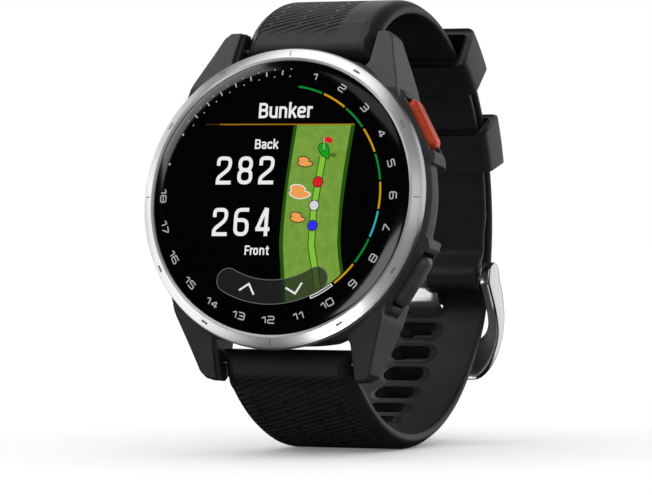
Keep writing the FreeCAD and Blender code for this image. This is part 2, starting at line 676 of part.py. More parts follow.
def keeper(middle_deg):
    """A loop round both strap layers, curved with them, its long edges rounded."""
    low = LOOP_RADIUS - KEEPER_GAP
    high = TAIL_OUTER_RADIUS + KEEPER_GAP
    inner_half = STRAP_HALF_WIDTH + 0.30
    outer_half = inner_half + KEEPER_SIDE_WALL
    bevel = 1.0

    def sector(r0, r1, half, cut):
        outline = [(-half + cut, r0), (half - cut, r0), (half, r0 + cut), (half, r1 - cut),
                   (half - cut, r1), (-half + cut, r1), (-half, r1 - cut), (-half, r0 + cut)]
        corners = [Vector(x, 0, LOOP_Z - r) for x, r in outline]
        face = Part.Face(Part.makePolygon(corners + corners[:1]))
        face.rotate(Vector(0, 0, LOOP_Z), Vector(1, 0, 0), middle_deg - KEEPER_LENGTH_DEG / 2)
        return face.revolve(Vector(0, 0, LOOP_Z), Vector(1, 0, 0), KEEPER_LENGTH_DEG)

    return sector(low - KEEPER_WALL, high + KEEPER_WALL, outer_half, bevel).cut(
        sector(low, high, inner_half, 0.3))


# ---- every node ---------------------------------------------------------------------------------------
def watch_parts():
    parts = {
        "case_body": case_body(),
        "bezel": bezel(),
        "glass": glass(),
        "glass_gasket": ring(18.15, 19.36, BEZEL_SHELF_Z, GLASS_BOTTOM_Z),
        "display": disc(17.40, -2.10, -0.65),
        "display_flex": display_flex(),
        "inner_frame": inner_frame(),
        "main_board": main_board(),
        "shield_cans": shield_cans(),
        "board_chips": board_chips(),
        "battery": battery(),
        "motor_can": motor_can(),
        "motor_base": motor_base(),
        "motor_rotor": motor_rotor(),
        "antenna": antenna(),
        "bezel_contact": bezel_contact(),
        "button_flex": button_flex(),
        "back_cover": back_cover(),
        "back_cover_gasket": ring(15.60, 16.30, -9.95, LEDGE_BOTTOM_Z),
        "back_cover_screws": back_screws(),
        "charging_port": port_housing(),
        "charging_contacts": port_contacts(),
        "upper_strap": upper_strap(),
        "lower_strap": lower_strap(),
        "upper_keeper": keeper(UPPER_KEEPER_DEG),
        "lower_keeper": keeper(LOWER_KEEPER_DEG),
        "buckle_bar": buckle_bar(),
        "buckle_frame": buckle_frame(),
        "buckle_tongue": buckle_tongue(),
    }
    for name, clock in BUTTON_CLOCK_DEG.items():
        parts[name + "_button"] = on_clock(button_cap(name == "action"), clock)
        parts[name + "_button_stem"] = on_clock(button_stem(), clock)
        parts[name + "_button_seal"] = on_clock(button_seal(), clock)
        parts[name + "_button_clip"] = on_clock(button_clip(), clock)
        parts[name + "_switch"] = on_clock(switch_housing(), clock)
        parts[name + "_switch_plunger"] = on_clock(switch_plunger(), clock)
    bar_makers = {"tube": bar_tube, "fixed_tip": bar_fixed_tip, "release_tip": bar_release_tip,
                  "spring": bar_spring}
    for piece, make in bar_makers.items():
        parts["upper_bar_" + piece] = make()
        parts["lower_bar_" + piece] = mirrored_y(make())
    return parts


def stand_up(parts):
    """Leans the dial back, then puts the origin under the middle of the watch's box."""
    for shape in parts.values():
        shape.rotate(Vector(0, 0, 0), Vector(1, 0, 0), 90 - LEAN_DEG)
    box = Part.makeCompound(list(parts.values())).optimalBoundingBox(False)
    shift = Vector(-(box.XMin + box.XMax) / 2, -(box.YMin + box.YMax) / 2, -box.ZMin)
    for shape in parts.values():
        shape.translate(shift)
    return shift


def write_parts():
    os.makedirs("parts", exist_ok=True)
    parts = watch_parts()
    shift = stand_up(parts)
    print("moved by", round(shift.x, 4), round(shift.y, 4), round(shift.z, 4), "after leaning")
    for name, shape in parts.items():
        shape.exportStep("parts/" + name + ".step")
        print(name, "solids", len(shape.Solids), "volume", round(shape.Volume, 2), shape.isValid())


write_parts()
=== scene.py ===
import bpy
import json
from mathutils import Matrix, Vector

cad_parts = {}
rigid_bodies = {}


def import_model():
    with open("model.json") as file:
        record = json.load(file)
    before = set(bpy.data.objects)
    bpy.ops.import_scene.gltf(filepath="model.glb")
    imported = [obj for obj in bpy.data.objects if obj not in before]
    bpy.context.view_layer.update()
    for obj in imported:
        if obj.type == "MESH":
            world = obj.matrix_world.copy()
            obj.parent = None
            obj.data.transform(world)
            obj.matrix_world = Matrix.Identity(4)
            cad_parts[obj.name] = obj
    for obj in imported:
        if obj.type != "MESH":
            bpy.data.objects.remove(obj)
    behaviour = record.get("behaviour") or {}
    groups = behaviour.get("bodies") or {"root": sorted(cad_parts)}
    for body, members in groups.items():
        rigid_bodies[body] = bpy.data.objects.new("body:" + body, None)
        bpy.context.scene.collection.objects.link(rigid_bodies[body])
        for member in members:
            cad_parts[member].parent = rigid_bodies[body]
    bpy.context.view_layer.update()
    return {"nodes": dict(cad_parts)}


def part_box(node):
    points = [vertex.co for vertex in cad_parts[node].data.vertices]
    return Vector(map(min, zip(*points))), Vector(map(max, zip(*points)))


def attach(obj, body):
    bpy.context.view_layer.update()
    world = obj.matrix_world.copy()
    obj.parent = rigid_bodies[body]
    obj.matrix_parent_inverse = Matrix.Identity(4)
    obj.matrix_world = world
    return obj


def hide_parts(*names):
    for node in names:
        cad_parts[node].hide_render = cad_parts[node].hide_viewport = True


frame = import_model()

import json
import math

import bmesh
import bpy
import numpy as np
from mathutils import Matrix, Vector
from mathutils.geometry import tessellate_polygon

# ==== How the watch stands ====================================================================
# The watch stands on its closed strap with the dial leaning back. Pieces are drawn in the watch's own
# millimetres: x towards 3 o'clock, y towards 12 o'clock, d straight back from the bezel's inner edge.
LEAN = math.radians(10.03)
LOOP_D = 22.8             # centre of the strap's rear arc, on y = 0
LOOP_RADIUS = 31.2        # inner face of the upper strap on that arc
BUCKLE_DEG = -4.9         # where the buckle bar lies on that arc


def outward(deg):
    """Unit (y, d): 0 degrees points straight away from the dial, 90 degrees to 12 o'clock."""
    return np.array([math.sin(math.radians(deg)), math.cos(math.radians(deg))])


def leaned(points):
    """Watch millimetres to metres, leaned back about the dial's centre."""
    x, y, d = np.asarray(points, float).reshape(-1, 3).T
    back = d * math.cos(LEAN) + y * math.sin(LEAN)
    up = y * math.cos(LEAN) - d * math.sin(LEAN)
    return np.stack([x, back, up], 1) / 1000


BUCKLE_BAR = np.array([0, LOOP_D]) + LOOP_RADIUS * outward(BUCKLE_DEG)
bar_low, bar_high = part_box("buckle_bar")
stand_offset = np.array((bar_low + bar_high) / 2) - leaned([(0, *BUCKLE_BAR)])[0]


def stand(points):
    """Watch millimetres to metres in the CAD model's frame."""
    return leaned(points) + stand_offset


# ==== Case: moulded fibre-reinforced polymer ==================================================
# One dark moulding with four lugs and a guard round each button, its mould cut by spark erosion.
# The eye gets a fine even grain that breaks up the highlights, and soft edges from the mould.
CASE_VOXEL = 0.00014      # metres
EDGE_ROUNDS = 6           # rounds of smoothing that give an edge its radius
CASE_GRAIN = 9000         # grains in a metre: a fine eroded texture is about 0.1 mm


def linear(code):
    """sRGB hex to the linear colour that shaders work in."""
    parts = [int(code[i:i + 2], 16) / 255 for i in (1, 3, 5)]
    return tuple(c / 12.92 if c < 0.04045 else ((c + 0.055) / 1.055) ** 2.4 for c in parts) + (1.0,)


def add(tree, kind, settings, links={}):
    """One node: settings are its own properties or its sockets' values, links its incoming sockets."""
    new = tree.nodes.new("ShaderNode" + kind)
    for key, value in settings.items():
        if isinstance(key, str) and hasattr(new, key):
            setattr(new, key, value)
        else:
            new.inputs[key].default_value = value
    for key, socket in links.items():
        tree.links.new(socket, new.inputs[key])
    return new


def material(name, **settings):
    """A material with its shader's fixed values set on the shader; returns it, its tree and its shader."""
    made = bpy.data.materials.new(name)
    made.use_nodes = True
    shader = made.node_tree.nodes["Principled BSDF"]
    for key, value in settings.items():
        shader.inputs[key.replace("_", " ")].default_value = value
    return made, made.node_tree, shader


def grained(name, dark, light, grain, rough, depth, metal=0.0, **settings):
    """A surface with an even grain: colour drifts slightly, roughness and height follow the grain."""
    made, tree, shader = material(name, Metallic=metal, **settings)
    place = add(tree, "TexCoord", {})
    fine = add(tree, "TexNoise", {"Scale": grain, "Detail": 3.0}, {"Vector": place.outputs["Object"]})
    cloud = add(tree, "TexNoise", {"Scale": grain / 25, "Detail": 2.0}, {"Vector": place.outputs["Object"]})
    tint = add(tree, "ValToRGB", {}, {"Fac": cloud.outputs["Fac"]})
    tint.color_ramp.elements[0].position = 0.3
    tint.color_ramp.elements[0].color = linear(dark)
    tint.color_ramp.elements[1].position = 0.7
    tint.color_ramp.elements[1].color = linear(light)
    gloss = add(tree, "MapRange", {"To Min": rough[0], "To Max": rough[1]}, {"Value": fine.outputs["Fac"]})
    bump = add(tree, "Bump", {"Strength": 0.35, "Distance": depth}, {"Height": fine.outputs["Fac"]})
    tree.links.new(tint.outputs["Color"], shader.inputs["Base Color"])
    tree.links.new(gloss.outputs["Result"], shader.inputs["Roughness"])
    tree.links.new(bump.outputs["Normal"], shader.inputs["Normal"])
    return made


def faced_out(*meshes):
    """Joins meshes into the first of them, with every face turned outwards."""
    joined = bmesh.new()
    for mesh in meshes:
        joined.from_mesh(mesh)
    bmesh.ops.recalc_face_normals(joined, faces=joined.faces)
    joined.to_mesh(meshes[0])
    joined.free()


def settle(obj, body, surface, hides=(), sharp_deg=35):
    """Last steps for every piece: outward faces, shading, finish, and the body it rides on."""
    faced_out(obj.data)
    obj.data.shade_smooth()
    obj.data.set_sharp_from_angle(angle=math.radians(sharp_deg))
    obj.data.materials.clear()
    obj.data.materials.append(surface)
    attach(obj, body)
    if hides:
        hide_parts(*hides)


def shown(name, mesh):
    obj = bpy.data.objects.new(name, mesh)
    bpy.context.scene.collection.objects.link(obj)
    return obj


def applied(obj):
    """Turns an object's modifiers into its mesh."""
    bpy.context.view_layer.update()
    ready = obj.evaluated_get(bpy.context.evaluated_depsgraph_get())
    mesh = bpy.data.meshes.new_from_object(ready)
    obj.modifiers.clear()
    obj.data = mesh
    return obj


def at_clock(clock_deg, radius, along, depth):
    """A point beside the case at a clock angle: out from the axis, along the case's edge, and back."""
    a = math.radians(clock_deg)
    return (radius * math.sin(a) + along * math.cos(a), radius * math.cos(a) - along * math.sin(a), depth)


def merged(parts):
    """Several shapes, each points and faces, as one."""
    points, faces = [], []
    for more_points, more_faces in parts:
        faces += [tuple(i + len(points) for i in face) for face in more_faces]
        points += list(more_points)
    return points, faces


BUTTON_CLOCKS = {"action_button": 60, "back_button": 120}
GUARD_SECTION = [(20.4, 1.80), (21.20, 1.80), (21.70, 2.60), (21.76, 3.05), (20.4, 3.05)]
GUARD_ENDS = (4.1, 5.6)   # the lip is at full height to the first and has sunk at the second
GUARD_SINK = 0.9


def swept_faces(rows, cols):
    """Faces of a closed shape made of rows of points: its walls, then its two ends."""
    walls = [(i * cols + k, i * cols + (k + 1) % cols, (i + 1) * cols + (k + 1) % cols, (i + 1) * cols + k)
             for i in range(rows - 1) for k in range(cols)]
    return walls + [tuple(range(cols)), tuple((rows - 1) * cols + k for k in range(cols))]


def guard_lip(clock_deg):
    """The lip of the case in front of a button: it slopes up to the slot and sinks at both ends."""
    points = []
    for along, sink in ((-GUARD_ENDS[1], GUARD_SINK), (-GUARD_ENDS[0], 0), (GUARD_ENDS[0], 0),
                        (GUARD_ENDS[1], GUARD_SINK)):
        points += [at_clock(clock_deg, radius - (sink if radius > GUARD_SECTION[0][0] else 0), along, depth)
                   for radius, depth in GUARD_SECTION]
    return points, swept_faces(4, len(GUARD_SECTION))


case_polymer = grained("spark_eroded_polymer_dark", "#1B1C1E", "#222326", CASE_GRAIN, (0.42, 0.58), 0.00002)
case = shown("case_moulding", frame["nodes"]["case_body"].data.copy())
guard_points, guard_faces = merged([guard_lip(clock) for clock in BUTTON_CLOCKS.values()])
guards = bpy.data.meshes.new("guards")
guards.from_pydata(stand(guard_points).tolist(), [], guard_faces)
faced_out(case.data, guards)
# the small radii that a mould leaves on every edge
remesh = case.modifiers.new("skin", "REMESH")
remesh.mode = "VOXEL"
remesh.voxel_size = CASE_VOXEL
smooth = case.modifiers.new("radii", "SMOOTH")
smooth.factor = 0.5
smooth.iterations = EDGE_ROUNDS
settle(applied(case), "watch", case_polymer, ["case_body"], 60)


# ==== Bezel: turned steel ring ================================================================
# A stainless ring with a sloping face, pressed over the case. It is brushed round its circle, so light
# pulls into soft fans across the face, and its hour marks are engraved and filled dark.
BEZEL_PROFILE = [(19.42, 0.50), (19.42, 0.12), (19.46, 0.07), (19.76, 0.0), (19.82, 0.0), (19.86, 0.01),
                 (21.02, 0.585), (21.06, 0.615), (21.08, 0.66), (21.03, 0.70), (21.03, 0.77), (21.10, 0.80),
                 (21.16, 0.84), (21.36, 1.42), (21.36, 1.50), (21.30, 1.55), (20.55, 1.55), (20.55, 2.30),
                 (18.10, 2.30), (18.10, 0.80), (19.42, 0.80)]
BEZEL_SLOPE = math.atan2(0.63, 1.28)
HOUR_MARK_RADIUS = 20.44


def lathe(profile, steps):
    """(radius, depth) points turned about the dial's axis, with a map of millimetres round and across."""
    profile = np.array(profile, float)
    angles = np.linspace(0, 2 * math.pi, steps, endpoint=False)
    points = [(r * math.sin(a), r * math.cos(a), d) for a in angles for r, d in profile]
    count = len(profile)
    across = np.r_[0, np.cumsum(np.hypot(*np.diff(profile, axis=0).T))]
    faces, maps = [], []
    for i in range(steps):
        for k in range(count):
            j, m = (i + 1) % steps, (k + 1) % count
            faces.append((i * count + k, j * count + k, j * count + m, i * count + m))
            far = across[m] if m else across[-1] + 1
            for turn, side in ((i, across[k]), (i + 1, across[k]), (i + 1, far), (i, far)):
                maps.append((turn / steps * 2 * math.pi * 20, side))
    return points, faces, maps


def mesh_from(name, points, faces, maps=None):
    mesh = bpy.data.meshes.new(name)
    mesh.from_pydata(stand(points).tolist(), [], faces)
    if maps is not None:
        layer = mesh.uv_layers.new(name="millimetres")
        layer.data.foreach_set("uv", np.array(maps, float).ravel())
    return mesh


BLOCK_FACES = [(0, 1, 3, 2), (4, 6, 7, 5), (0, 4, 5, 1), (2, 3, 7, 6), (0, 2, 6, 4), (1, 5, 7, 3)]


def block(half, place):
    """Corners and faces of a small block from its half sizes and the matrix that places it."""
    corners = [place @ Vector((x * half[0], y * half[1], z * half[2]))
               for x in (-1, 1) for y in (-1, 1) for z in (-1, 1)]
    return [tuple(c) for c in corners], BLOCK_FACES


def cut(obj, points, faces):
    """Takes a closed shape out of a piece."""
    tool_mesh = bpy.data.meshes.new("cutter")
    tool_mesh.from_pydata(stand(points).tolist(), [], faces)
    faced_out(tool_mesh)
    faced_out(obj.data)
    tool = shown("cutter", tool_mesh)
    boolean = obj.modifiers.new("cut", "BOOLEAN")
    boolean.operation = "DIFFERENCE"
    boolean.solver = "MANIFOLD"
    boolean.object = tool
    applied(obj)
    bpy.data.objects.remove(tool)


def brushed(name, dark, light, rough, stretch, **settings):
    """Brushed metal: streaks follow the first map direction and are a few hundredths wide."""
    made, tree, shader = material(name, Metallic=1.0, **settings)
    place = add(tree, "UVMap", {"uv_map": "millimetres"})
    squeeze = add(tree, "Mapping", {"Scale": (stretch, 22.0, 1.0)}, {"Vector": place.outputs["UV"]})
    streak = add(tree, "TexNoise", {"Scale": 1.0, "Detail": 4.0, "Roughness": 0.65},
                 {"Vector": squeeze.outputs["Vector"]})
    tint = add(tree, "ValToRGB", {}, {"Fac": streak.outputs["Fac"]})
    tint.color_ramp.elements[0].position = 0.32
    tint.color_ramp.elements[0].color = linear(dark)
    tint.color_ramp.elements[1].position = 0.68
    tint.color_ramp.elements[1].color = linear(light)
    gloss = add(tree, "MapRange", {"To Min": rough[0], "To Max": rough[1]}, {"Value": streak.outputs["Fac"]})
    bump = add(tree, "Bump", {"Strength": 0.25, "Distance": 0.000012}, {"Height": streak.outputs["Fac"]})
    lay = add(tree, "Tangent", {"direction_type": "UV_MAP", "uv_map": "millimetres"})
    tree.links.new(lay.outputs["Tangent"], shader.inputs["Tangent"])
    tree.links.new(tint.outputs["Color"], shader.inputs["Base Color"])
    tree.links.new(gloss.outputs["Result"], shader.inputs["Roughness"])
    tree.links.new(bump.outputs["Normal"], shader.inputs["Normal"])
    return made


bezel_steel = brushed("brushed_stainless_steel", "#B9BABB", "#D4D5D6", (0.30, 0.42), 0.12,
                      Anisotropic=0.7, Anisotropic_Rotation=0.25)
ring = shown("bezel_ring", mesh_from("bezel_ring", *lathe(BEZEL_PROFILE, 480)))


def hour_marks(quarter, other, depth):
    """Twelve blocks on the bezel's slope, of one half size at the quarters and another between."""
    blocks = []
    for hour in range(12):
        spin = Matrix.Rotation(-math.radians(30 * hour), 4, "Z")
        slope = Matrix.Translation((0, HOUR_MARK_RADIUS, depth)) @ Matrix.Rotation(BEZEL_SLOPE, 4, "X")
        blocks.append(block(other if hour % 3 else quarter, spin @ slope))
    return merged(blocks)


cut(ring, *hour_marks((0.07, 0.46, 0.07), (0.53, 0.18, 0.07), 0.315))
settle(ring, "watch", bezel_steel, ["bezel"], 25)

engraving_fill = grained("dark_engraving_fill", "#56575A", "#646568", 9000, (0.5, 0.65), 0.00001)
fill_mesh = mesh_from("hour_mark_fill", *hour_marks((0.066, 0.456, 0.01), (0.525, 0.175, 0.01), 0.35))
settle(shown("hour_mark_fill", fill_mesh), "watch", engraving_fill)


# ==== Cover glass: chemically strengthened glass, black printed inside ========================
# Flat over the display and rolled down to the bezel all round. Seen from outside it is black and
# nearly mirror smooth; only its rolled rim catches the light of the room.
GLASS_FLAT_RADIUS = 16.5
GLASS_RISE = 0.95
GLASS_RIM = (19.40, -0.05)
GLASS_SHOULDER = (18.55, 0.52)


def circle_through(a, b, c):
    """Centre and radius of the circle through three (radius, height) points."""
    rows = [(2 * (b[0] - a[0]), 2 * (b[1] - a[1])), (2 * (c[0] - a[0]), 2 * (c[1] - a[1]))]
    rights = [b[0] ** 2 - a[0] ** 2 + b[1] ** 2 - a[1] ** 2, c[0] ** 2 - a[0] ** 2 + c[1] ** 2 - a[1] ** 2]
    centre = np.linalg.solve(np.array(rows), np.array(rights))
    return centre, math.dist(centre, a)


rim_centre, rim_radius = circle_through(GLASS_RIM, GLASS_SHOULDER, (GLASS_FLAT_RADIUS, GLASS_RISE))


def glass_height(radius):
    """Height of the glass's outer face above the bezel's inner edge."""
    reach = np.clip(np.asarray(radius, float) - rim_centre[0], 0, rim_radius * 0.999)
    return np.minimum(GLASS_RISE, rim_centre[1] + np.sqrt(rim_radius ** 2 - reach ** 2))


glass_radii = np.r_[np.linspace(0.5, 16.0, 12), np.linspace(16.4, 19.38, 40)]
glass_profile = [(r, -float(glass_height(r))) for r in glass_radii]
glass_profile += [(19.40, 0.06), (19.40, 0.60), (0.5, 0.60)]
cover_glass, glass_tree, glass_shader = material(
    "black_printed_cover_glass", Base_Color=linear("#020203"), IOR=1.5, Specular_IOR_Level=0.5)
glass_place = add(glass_tree, "TexCoord", {})
smear = add(glass_tree, "TexNoise", {"Scale": 260.0, "Detail": 3.0},
            {"Vector": glass_place.outputs["Object"]})
smear_gloss = add(glass_tree, "MapRange", {"To Min": 0.13, "To Max": 0.17},
                  {"Value": smear.outputs["Fac"]})
glass_tree.links.new(smear_gloss.outputs["Result"], glass_shader.inputs["Roughness"])
GLASS_STEPS = 360
glass_points, glass_faces, _ = lathe(glass_profile, GLASS_STEPS)
# the lathe leaves a pinhole at the axis: both its ends are closed and its wall is taken away
count = len(glass_profile)
glass_faces.append(tuple(i * count for i in range(GLASS_STEPS)))
glass_faces.append(tuple(i * count + count - 1 for i in reversed(range(GLASS_STEPS))))
glass_faces = [f for f in glass_faces if len(f) != 4 or not {0, count - 1} <= {i % count for i in f}]
glass = shown("cover_glass", mesh_from("cover_glass", glass_points, glass_faces))
settle(glass, "watch", cover_glass, ["glass"], 50)


# ==== Dial print: hole numbers round the rim ==================================================
# Light grey ink printed under the glass, squared figures 0.9 mm tall, one every 15 degrees, then ticks. The
# ink glows: painted light standing in for light falling on it.
# Numbers 1 to 6 stand outwards and the rest inwards, so that none of them is upside down.
NUMBER_RADIUS = 17.45
NUMBER_HEIGHT = 0.90
NUMBER_WIDTH = 0.95
NUMBER_STROKE = 0.165
PRINT_STEP = 0.15         # print follows the rolled glass in steps no longer than this
PRINT_LIFT = 0.012        # print stands this far off the glass so that it always shows
SQUARE_FIGURES = {
    "0": [([(0, 0), (1, 0), (1, 1), (0, 1)], True)],
    "1": [([(0.45, 0.72), (1, 1), (1, 0)], False)],
    "2": [([(0, 1), (1, 1), (1, 0.5), (0, 0.5), (0, 0), (1, 0)], False)],
    "3": [([(0, 1), (1, 1), (1, 0), (0, 0)], False), ([(0.2, 0.5), (0.9, 0.5)], False)],
    "4": [([(0.78, 0), (0.78, 1), (0, 0.28), (1.05, 0.28)], False)],
    "5": [([(1, 1), (0, 1), (0, 0.55), (1, 0.55), (1, 0), (0, 0)], False)],
    "6": [([(0.95, 1), (0, 1), (0, 0), (1, 0), (1, 0.52), (0.1, 0.52)], False)],
    "7": [([(0, 1), (1, 1), (0.3, 0)], False)],
    "8": [([(0, 0), (1, 0), (1, 1), (0, 1)], True), ([(0.1, 0.5), (0.9, 0.5)], False)],
    "9": [([(0.05, 0), (1, 0), (1, 1), (0, 1), (0, 0.48), (0.9, 0.48)], False)],
}


def softened_path(points, radius, closed):
    """A path whose corners are rounded."""
    points = [np.array(p, float) for p in points]
    out = []
    for i, here in enumerate(points):
        if not closed and i in (0, len(points) - 1):
            out.append(here)
            continue
        before, after = points[i - 1], points[(i + 1) % len(points)]
        reach = min(radius, 0.48 * np.linalg.norm(before - here), 0.48 * np.linalg.norm(after - here))
        start = here + (before - here) / np.linalg.norm(before - here) * reach
        end = here + (after - here) / np.linalg.norm(after - here) * reach
        for t in np.linspace(0, 1, 6):
            out.append((1 - t) ** 2 * start + 2 * t * (1 - t) * here + t ** 2 * end)
    ends = out[1:] + out[:1] if closed else out[1:]
    fine = []
    for here, there in zip(out, ends):
        pieces = max(1, math.ceil(np.linalg.norm(there - here) / PRINT_STEP))
        fine += [here + (there - here) * k / pieces for k in range(pieces)]
    return fine if closed else fine + out[-1:]


def stroke(path, width, closed=False):
    """A flat ribbon of one width along a path, as points and faces in the dial's plane."""
    path = np.array(path, float)
    count = len(path)
    sides = []
    for i in range(count):
        before = path[i] - path[i - 1] if closed or i else path[1] - path[0]
        after = path[(i + 1) % count] - path[i] if closed or i < count - 1 else before
        before, after = before / np.linalg.norm(before), after / np.linalg.norm(after)
        normal = np.array([-(before + after)[1], (before + after)[0]])
        normal /= max(np.linalg.norm(normal), 1e-6)
        mitre = 1 / max(0.4, normal @ np.array([-after[1], after[0]]))
        sides.append((path[i] + normal * width / 2 * mitre, path[i] - normal * width / 2 * mitre))
    points = [p for pair in sides for p in pair]
    faces = [(2 * i, 2 * i + 1, (2 * i + 3) % (2 * count), (2 * i + 2) % (2 * count))
             for i in range(count if closed else count - 1)]
    return points, faces


def filled(outline):
    """A flat shape inside a closed outline."""
    triangles = tessellate_polygon([[Vector((x, y, 0)) for x, y in outline]])
    return [np.array(p, float) for p in outline], [tuple(t) for t in triangles]


def on_glass(name, parts, surface, level):
    """Flat parts laid on the glass's outer face, level steps of print above it."""
    points, faces = merged(parts)
    xy = np.array(points, float).reshape(-1, 2)
    height = glass_height(np.hypot(*xy.T)) + PRINT_LIFT * level
    mesh = mesh_from(name, np.column_stack([xy, -height]), faces)
    obj = shown(name, mesh)
    facing = bmesh.new()
    facing.from_mesh(mesh)
    towards = Vector(stand([(0, 0, -1)])[0] - stand([(0, 0, 0)])[0])
    for face in facing.faces:
        if face.normal.dot(towards) < 0:
            face.normal_flip()
    facing.to_mesh(mesh)
    facing.free()
    mesh.materials.append(surface)
    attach(obj, "watch")


def turned(parts, degrees, shift):
    """Flat parts turned clockwise, then moved."""
    c, s = math.cos(math.radians(degrees)), math.sin(math.radians(degrees))
    spun = []
    for points, faces in parts:
        xy = np.array(points, float).reshape(-1, 2) @ np.array([[c, -s], [s, c]])
        spun.append((list(xy + np.array(shift)), faces))
    return spun


def figures(text, shapes, size, stroke_width, gap, corner):
    """A line of figures about its own middle."""
    width, height = size
    parts, left = [], 0.0
    for sign in text:
        start = 0.45 * width if sign == "1" else 0.0
        for path, closed in shapes[sign]:
            spots = [(x * width - start + left, y * height) for x, y in path]
            parts.append(stroke(softened_path(spots, corner, closed), stroke_width, closed))
        left += width - start + gap
    middle = ((left - gap) / 2, height / 2)
    return turned(parts, 0, (-middle[0], -middle[1]))


def dial_spot(clock_deg, radius):
    a = math.radians(clock_deg)
    return radius * math.sin(a), radius * math.cos(a)


def lit(name, code, strength, mottle=0.0):
    """A colour of the display or of the print under the glass: it glows and has the glass's gloss."""
    made, tree, shader = material(name, Roughness=0.25, IOR=1.5, Emission_Strength=strength)
    place = add(tree, "TexCoord", {})
    grain = add(tree, "TexNoise", {"Scale": 900.0, "Detail": 4.0}, {"Vector": place.outputs["Object"]})
    shade = add(tree, "ValToRGB", {}, {"Fac": grain.outputs["Fac"]})
    colour = linear(code)
    for element, spot, gain in zip(shade.color_ramp.elements, (0.3, 0.7), (1 - mottle, 1 + mottle)):
        element.position = spot
        element.color = (colour[0] * gain, colour[1] * gain, colour[2] * gain, 1)
    tree.links.new(shade.outputs["Color"], shader.inputs["Emission Color"])
    dim = add(tree, "MixRGB", {"blend_type": "MULTIPLY", "Fac": 1.0, "Color2": (0.04, 0.04, 0.04, 1)},
              {"Color1": shade.outputs["Color"]})
    tree.links.new(dim.outputs["Color"], shader.inputs["Base Color"])
    return made


# the print's glow is painted light: the ink is no lamp, and the glow stands in for the room's light on it
glowing_print_grey = lit("light_grey_print_painted_glow", "#ABABAB", 0.95)
numbers = []
for hole in range(1, 19):
    row = figures(str(hole), SQUARE_FIGURES, (NUMBER_WIDTH, NUMBER_HEIGHT), NUMBER_STROKE, 0.36, 0.24)
    turn = 15 * hole if hole <= 6 else 15 * hole - 180
    numbers += turned(row, turn, dial_spot(15 * hole, NUMBER_RADIUS))
DOT_RADIUS = 0.17
TICK_START = 306.5
TICK_PITCH = 4.0
TICK_HALVES = (0.62, 0.34)
TICK_STROKE = 0.19
for clock in (285, 300):
    x, y = dial_spot(clock, NUMBER_RADIUS)
    numbers.append(filled([(x + DOT_RADIUS * math.cos(math.radians(30 * k)),
                            y + DOT_RADIUS * math.sin(math.radians(30 * k))) for k in range(12)]))
for k in range(15):
    clock, half = TICK_START + TICK_PITCH * k, TICK_HALVES[k % 2]
    ends = [dial_spot(clock, NUMBER_RADIUS - half), dial_spot(clock, NUMBER_RADIUS + half)]
    numbers.append(stroke(ends, TICK_STROKE))
on_glass("hole_numbers", numbers, glowing_print_grey, 2)


# ==== Display: lit golf screen ================================================================
# An emissive display bonded to the glass: a hole map, the distances to the green and a bar of two
# touch arrows. Its colours are flat and bright, and its black is as black as the print round it.
RING_RADIUS = 15.56
RING_WIDTH = 0.28
RING_SEGMENT = 13.8       # degrees lit for each hole, out of 15
MAP_LIMIT = 15.2


def arc(radius, first_deg, last_deg, step=1.5):
    count = max(2, int(abs(last_deg - first_deg) / step) + 1)
    return [dial_spot(c, radius) for c in np.linspace(first_deg, last_deg, count)]


ring_colours = {"green": lit("display_green", "#00802B", 1.0), "gold": lit("display_gold", "#C49000", 1.0),
                "cyan": lit("display_cyan", "#2AA8AC", 1.0)}
ring_order = ["green", "gold", "green", "gold", "green", "gold", "cyan", "green", "gold"]
for colour, surface in ring_colours.items():
    segments = [stroke(arc(RING_RADIUS, 15 * n - RING_SEGMENT / 2, 15 * n + RING_SEGMENT / 2), RING_WIDTH)
                for n, own in enumerate(ring_order, 1) if own == colour]
    on_glass("hole_ring_" + colour, segments, surface, 3)

display_white = lit("display_white", "#E4E4E4", 1.0)
ring_now = arc(RING_RADIUS + 0.16, 143.5, 156.5) + arc(RING_RADIUS - 0.16, 156.5, 143.5)
on_glass("hole_ring_now", [stroke(ring_now, 0.12, True)], display_white, 4)

fairway = lit("display_fairway", "#6F9636", 1.0, 0.12)
rough_edge = lit("display_rough_edge", "#1F4D03", 1.0)
outer_left = [(1.85, 9.96), (1.62, 7.2), (1.40, 4.42), (1.18, 1.6), (1.0, -1.22), (0.92, -3.8), (0.88, -6.34),
              (1.0, -7.8), (1.27, -9.6), (1.62, -12.2), (1.95, -15.08)]
inner_left = [(2.38, 9.96), (2.15, 7.5), (1.92, 5.2), (1.72, 2.9), (1.56, 0.57), (1.48, -1.9), (1.42, -4.42),
              (1.49, -6.98), (1.80, -9.4), (2.15, -12.0), (2.50, -15.0)]
outer_right = [(11.10, 9.96), (10.70, 6.5), (10.41, 3.1), (10.18, 0.6), (10.06, -1.8), (10.04, -4.23),
               (10.12, -6.6), (10.45, -8.9), (10.85, -10.64)]
inner_right = [(10.54, 9.96), (10.18, 6.8), (9.86, 3.7), (9.66, 0.9), (9.58, -1.8), (9.59, -4.23),
               (9.63, -6.7), (9.95, -8.8), (10.45, -11.04)]
low_edge = arc(MAP_LIMIT, 134.5, 172.5)
map_field = outer_left[:1] + outer_right + low_edge + outer_left[:0:-1]
on_glass("map_rough", [filled(map_field)], rough_edge, 1)
map_grass = inner_left[:1] + inner_right + arc(MAP_LIMIT, 136.5, 170.5) + inner_left[:0:-1]
on_glass("map_fairway", [filled(map_grass)], fairway, 2)

centre_line = [(6.62, 5.4), (6.28, 2.8), (5.96, 0.0), (5.75, -2.45), (5.78, -5.0), (5.79, -7.04),
               (6.22, -8.9), (6.63, -10.4), (7.15, -13.0)]
on_glass("map_path_edge", [stroke(centre_line, 1.12)], rough_edge, 3)
on_glass("map_path", [stroke(centre_line, 0.84)], lit("display_path_green", "#7DBB37", 1.0), 4)

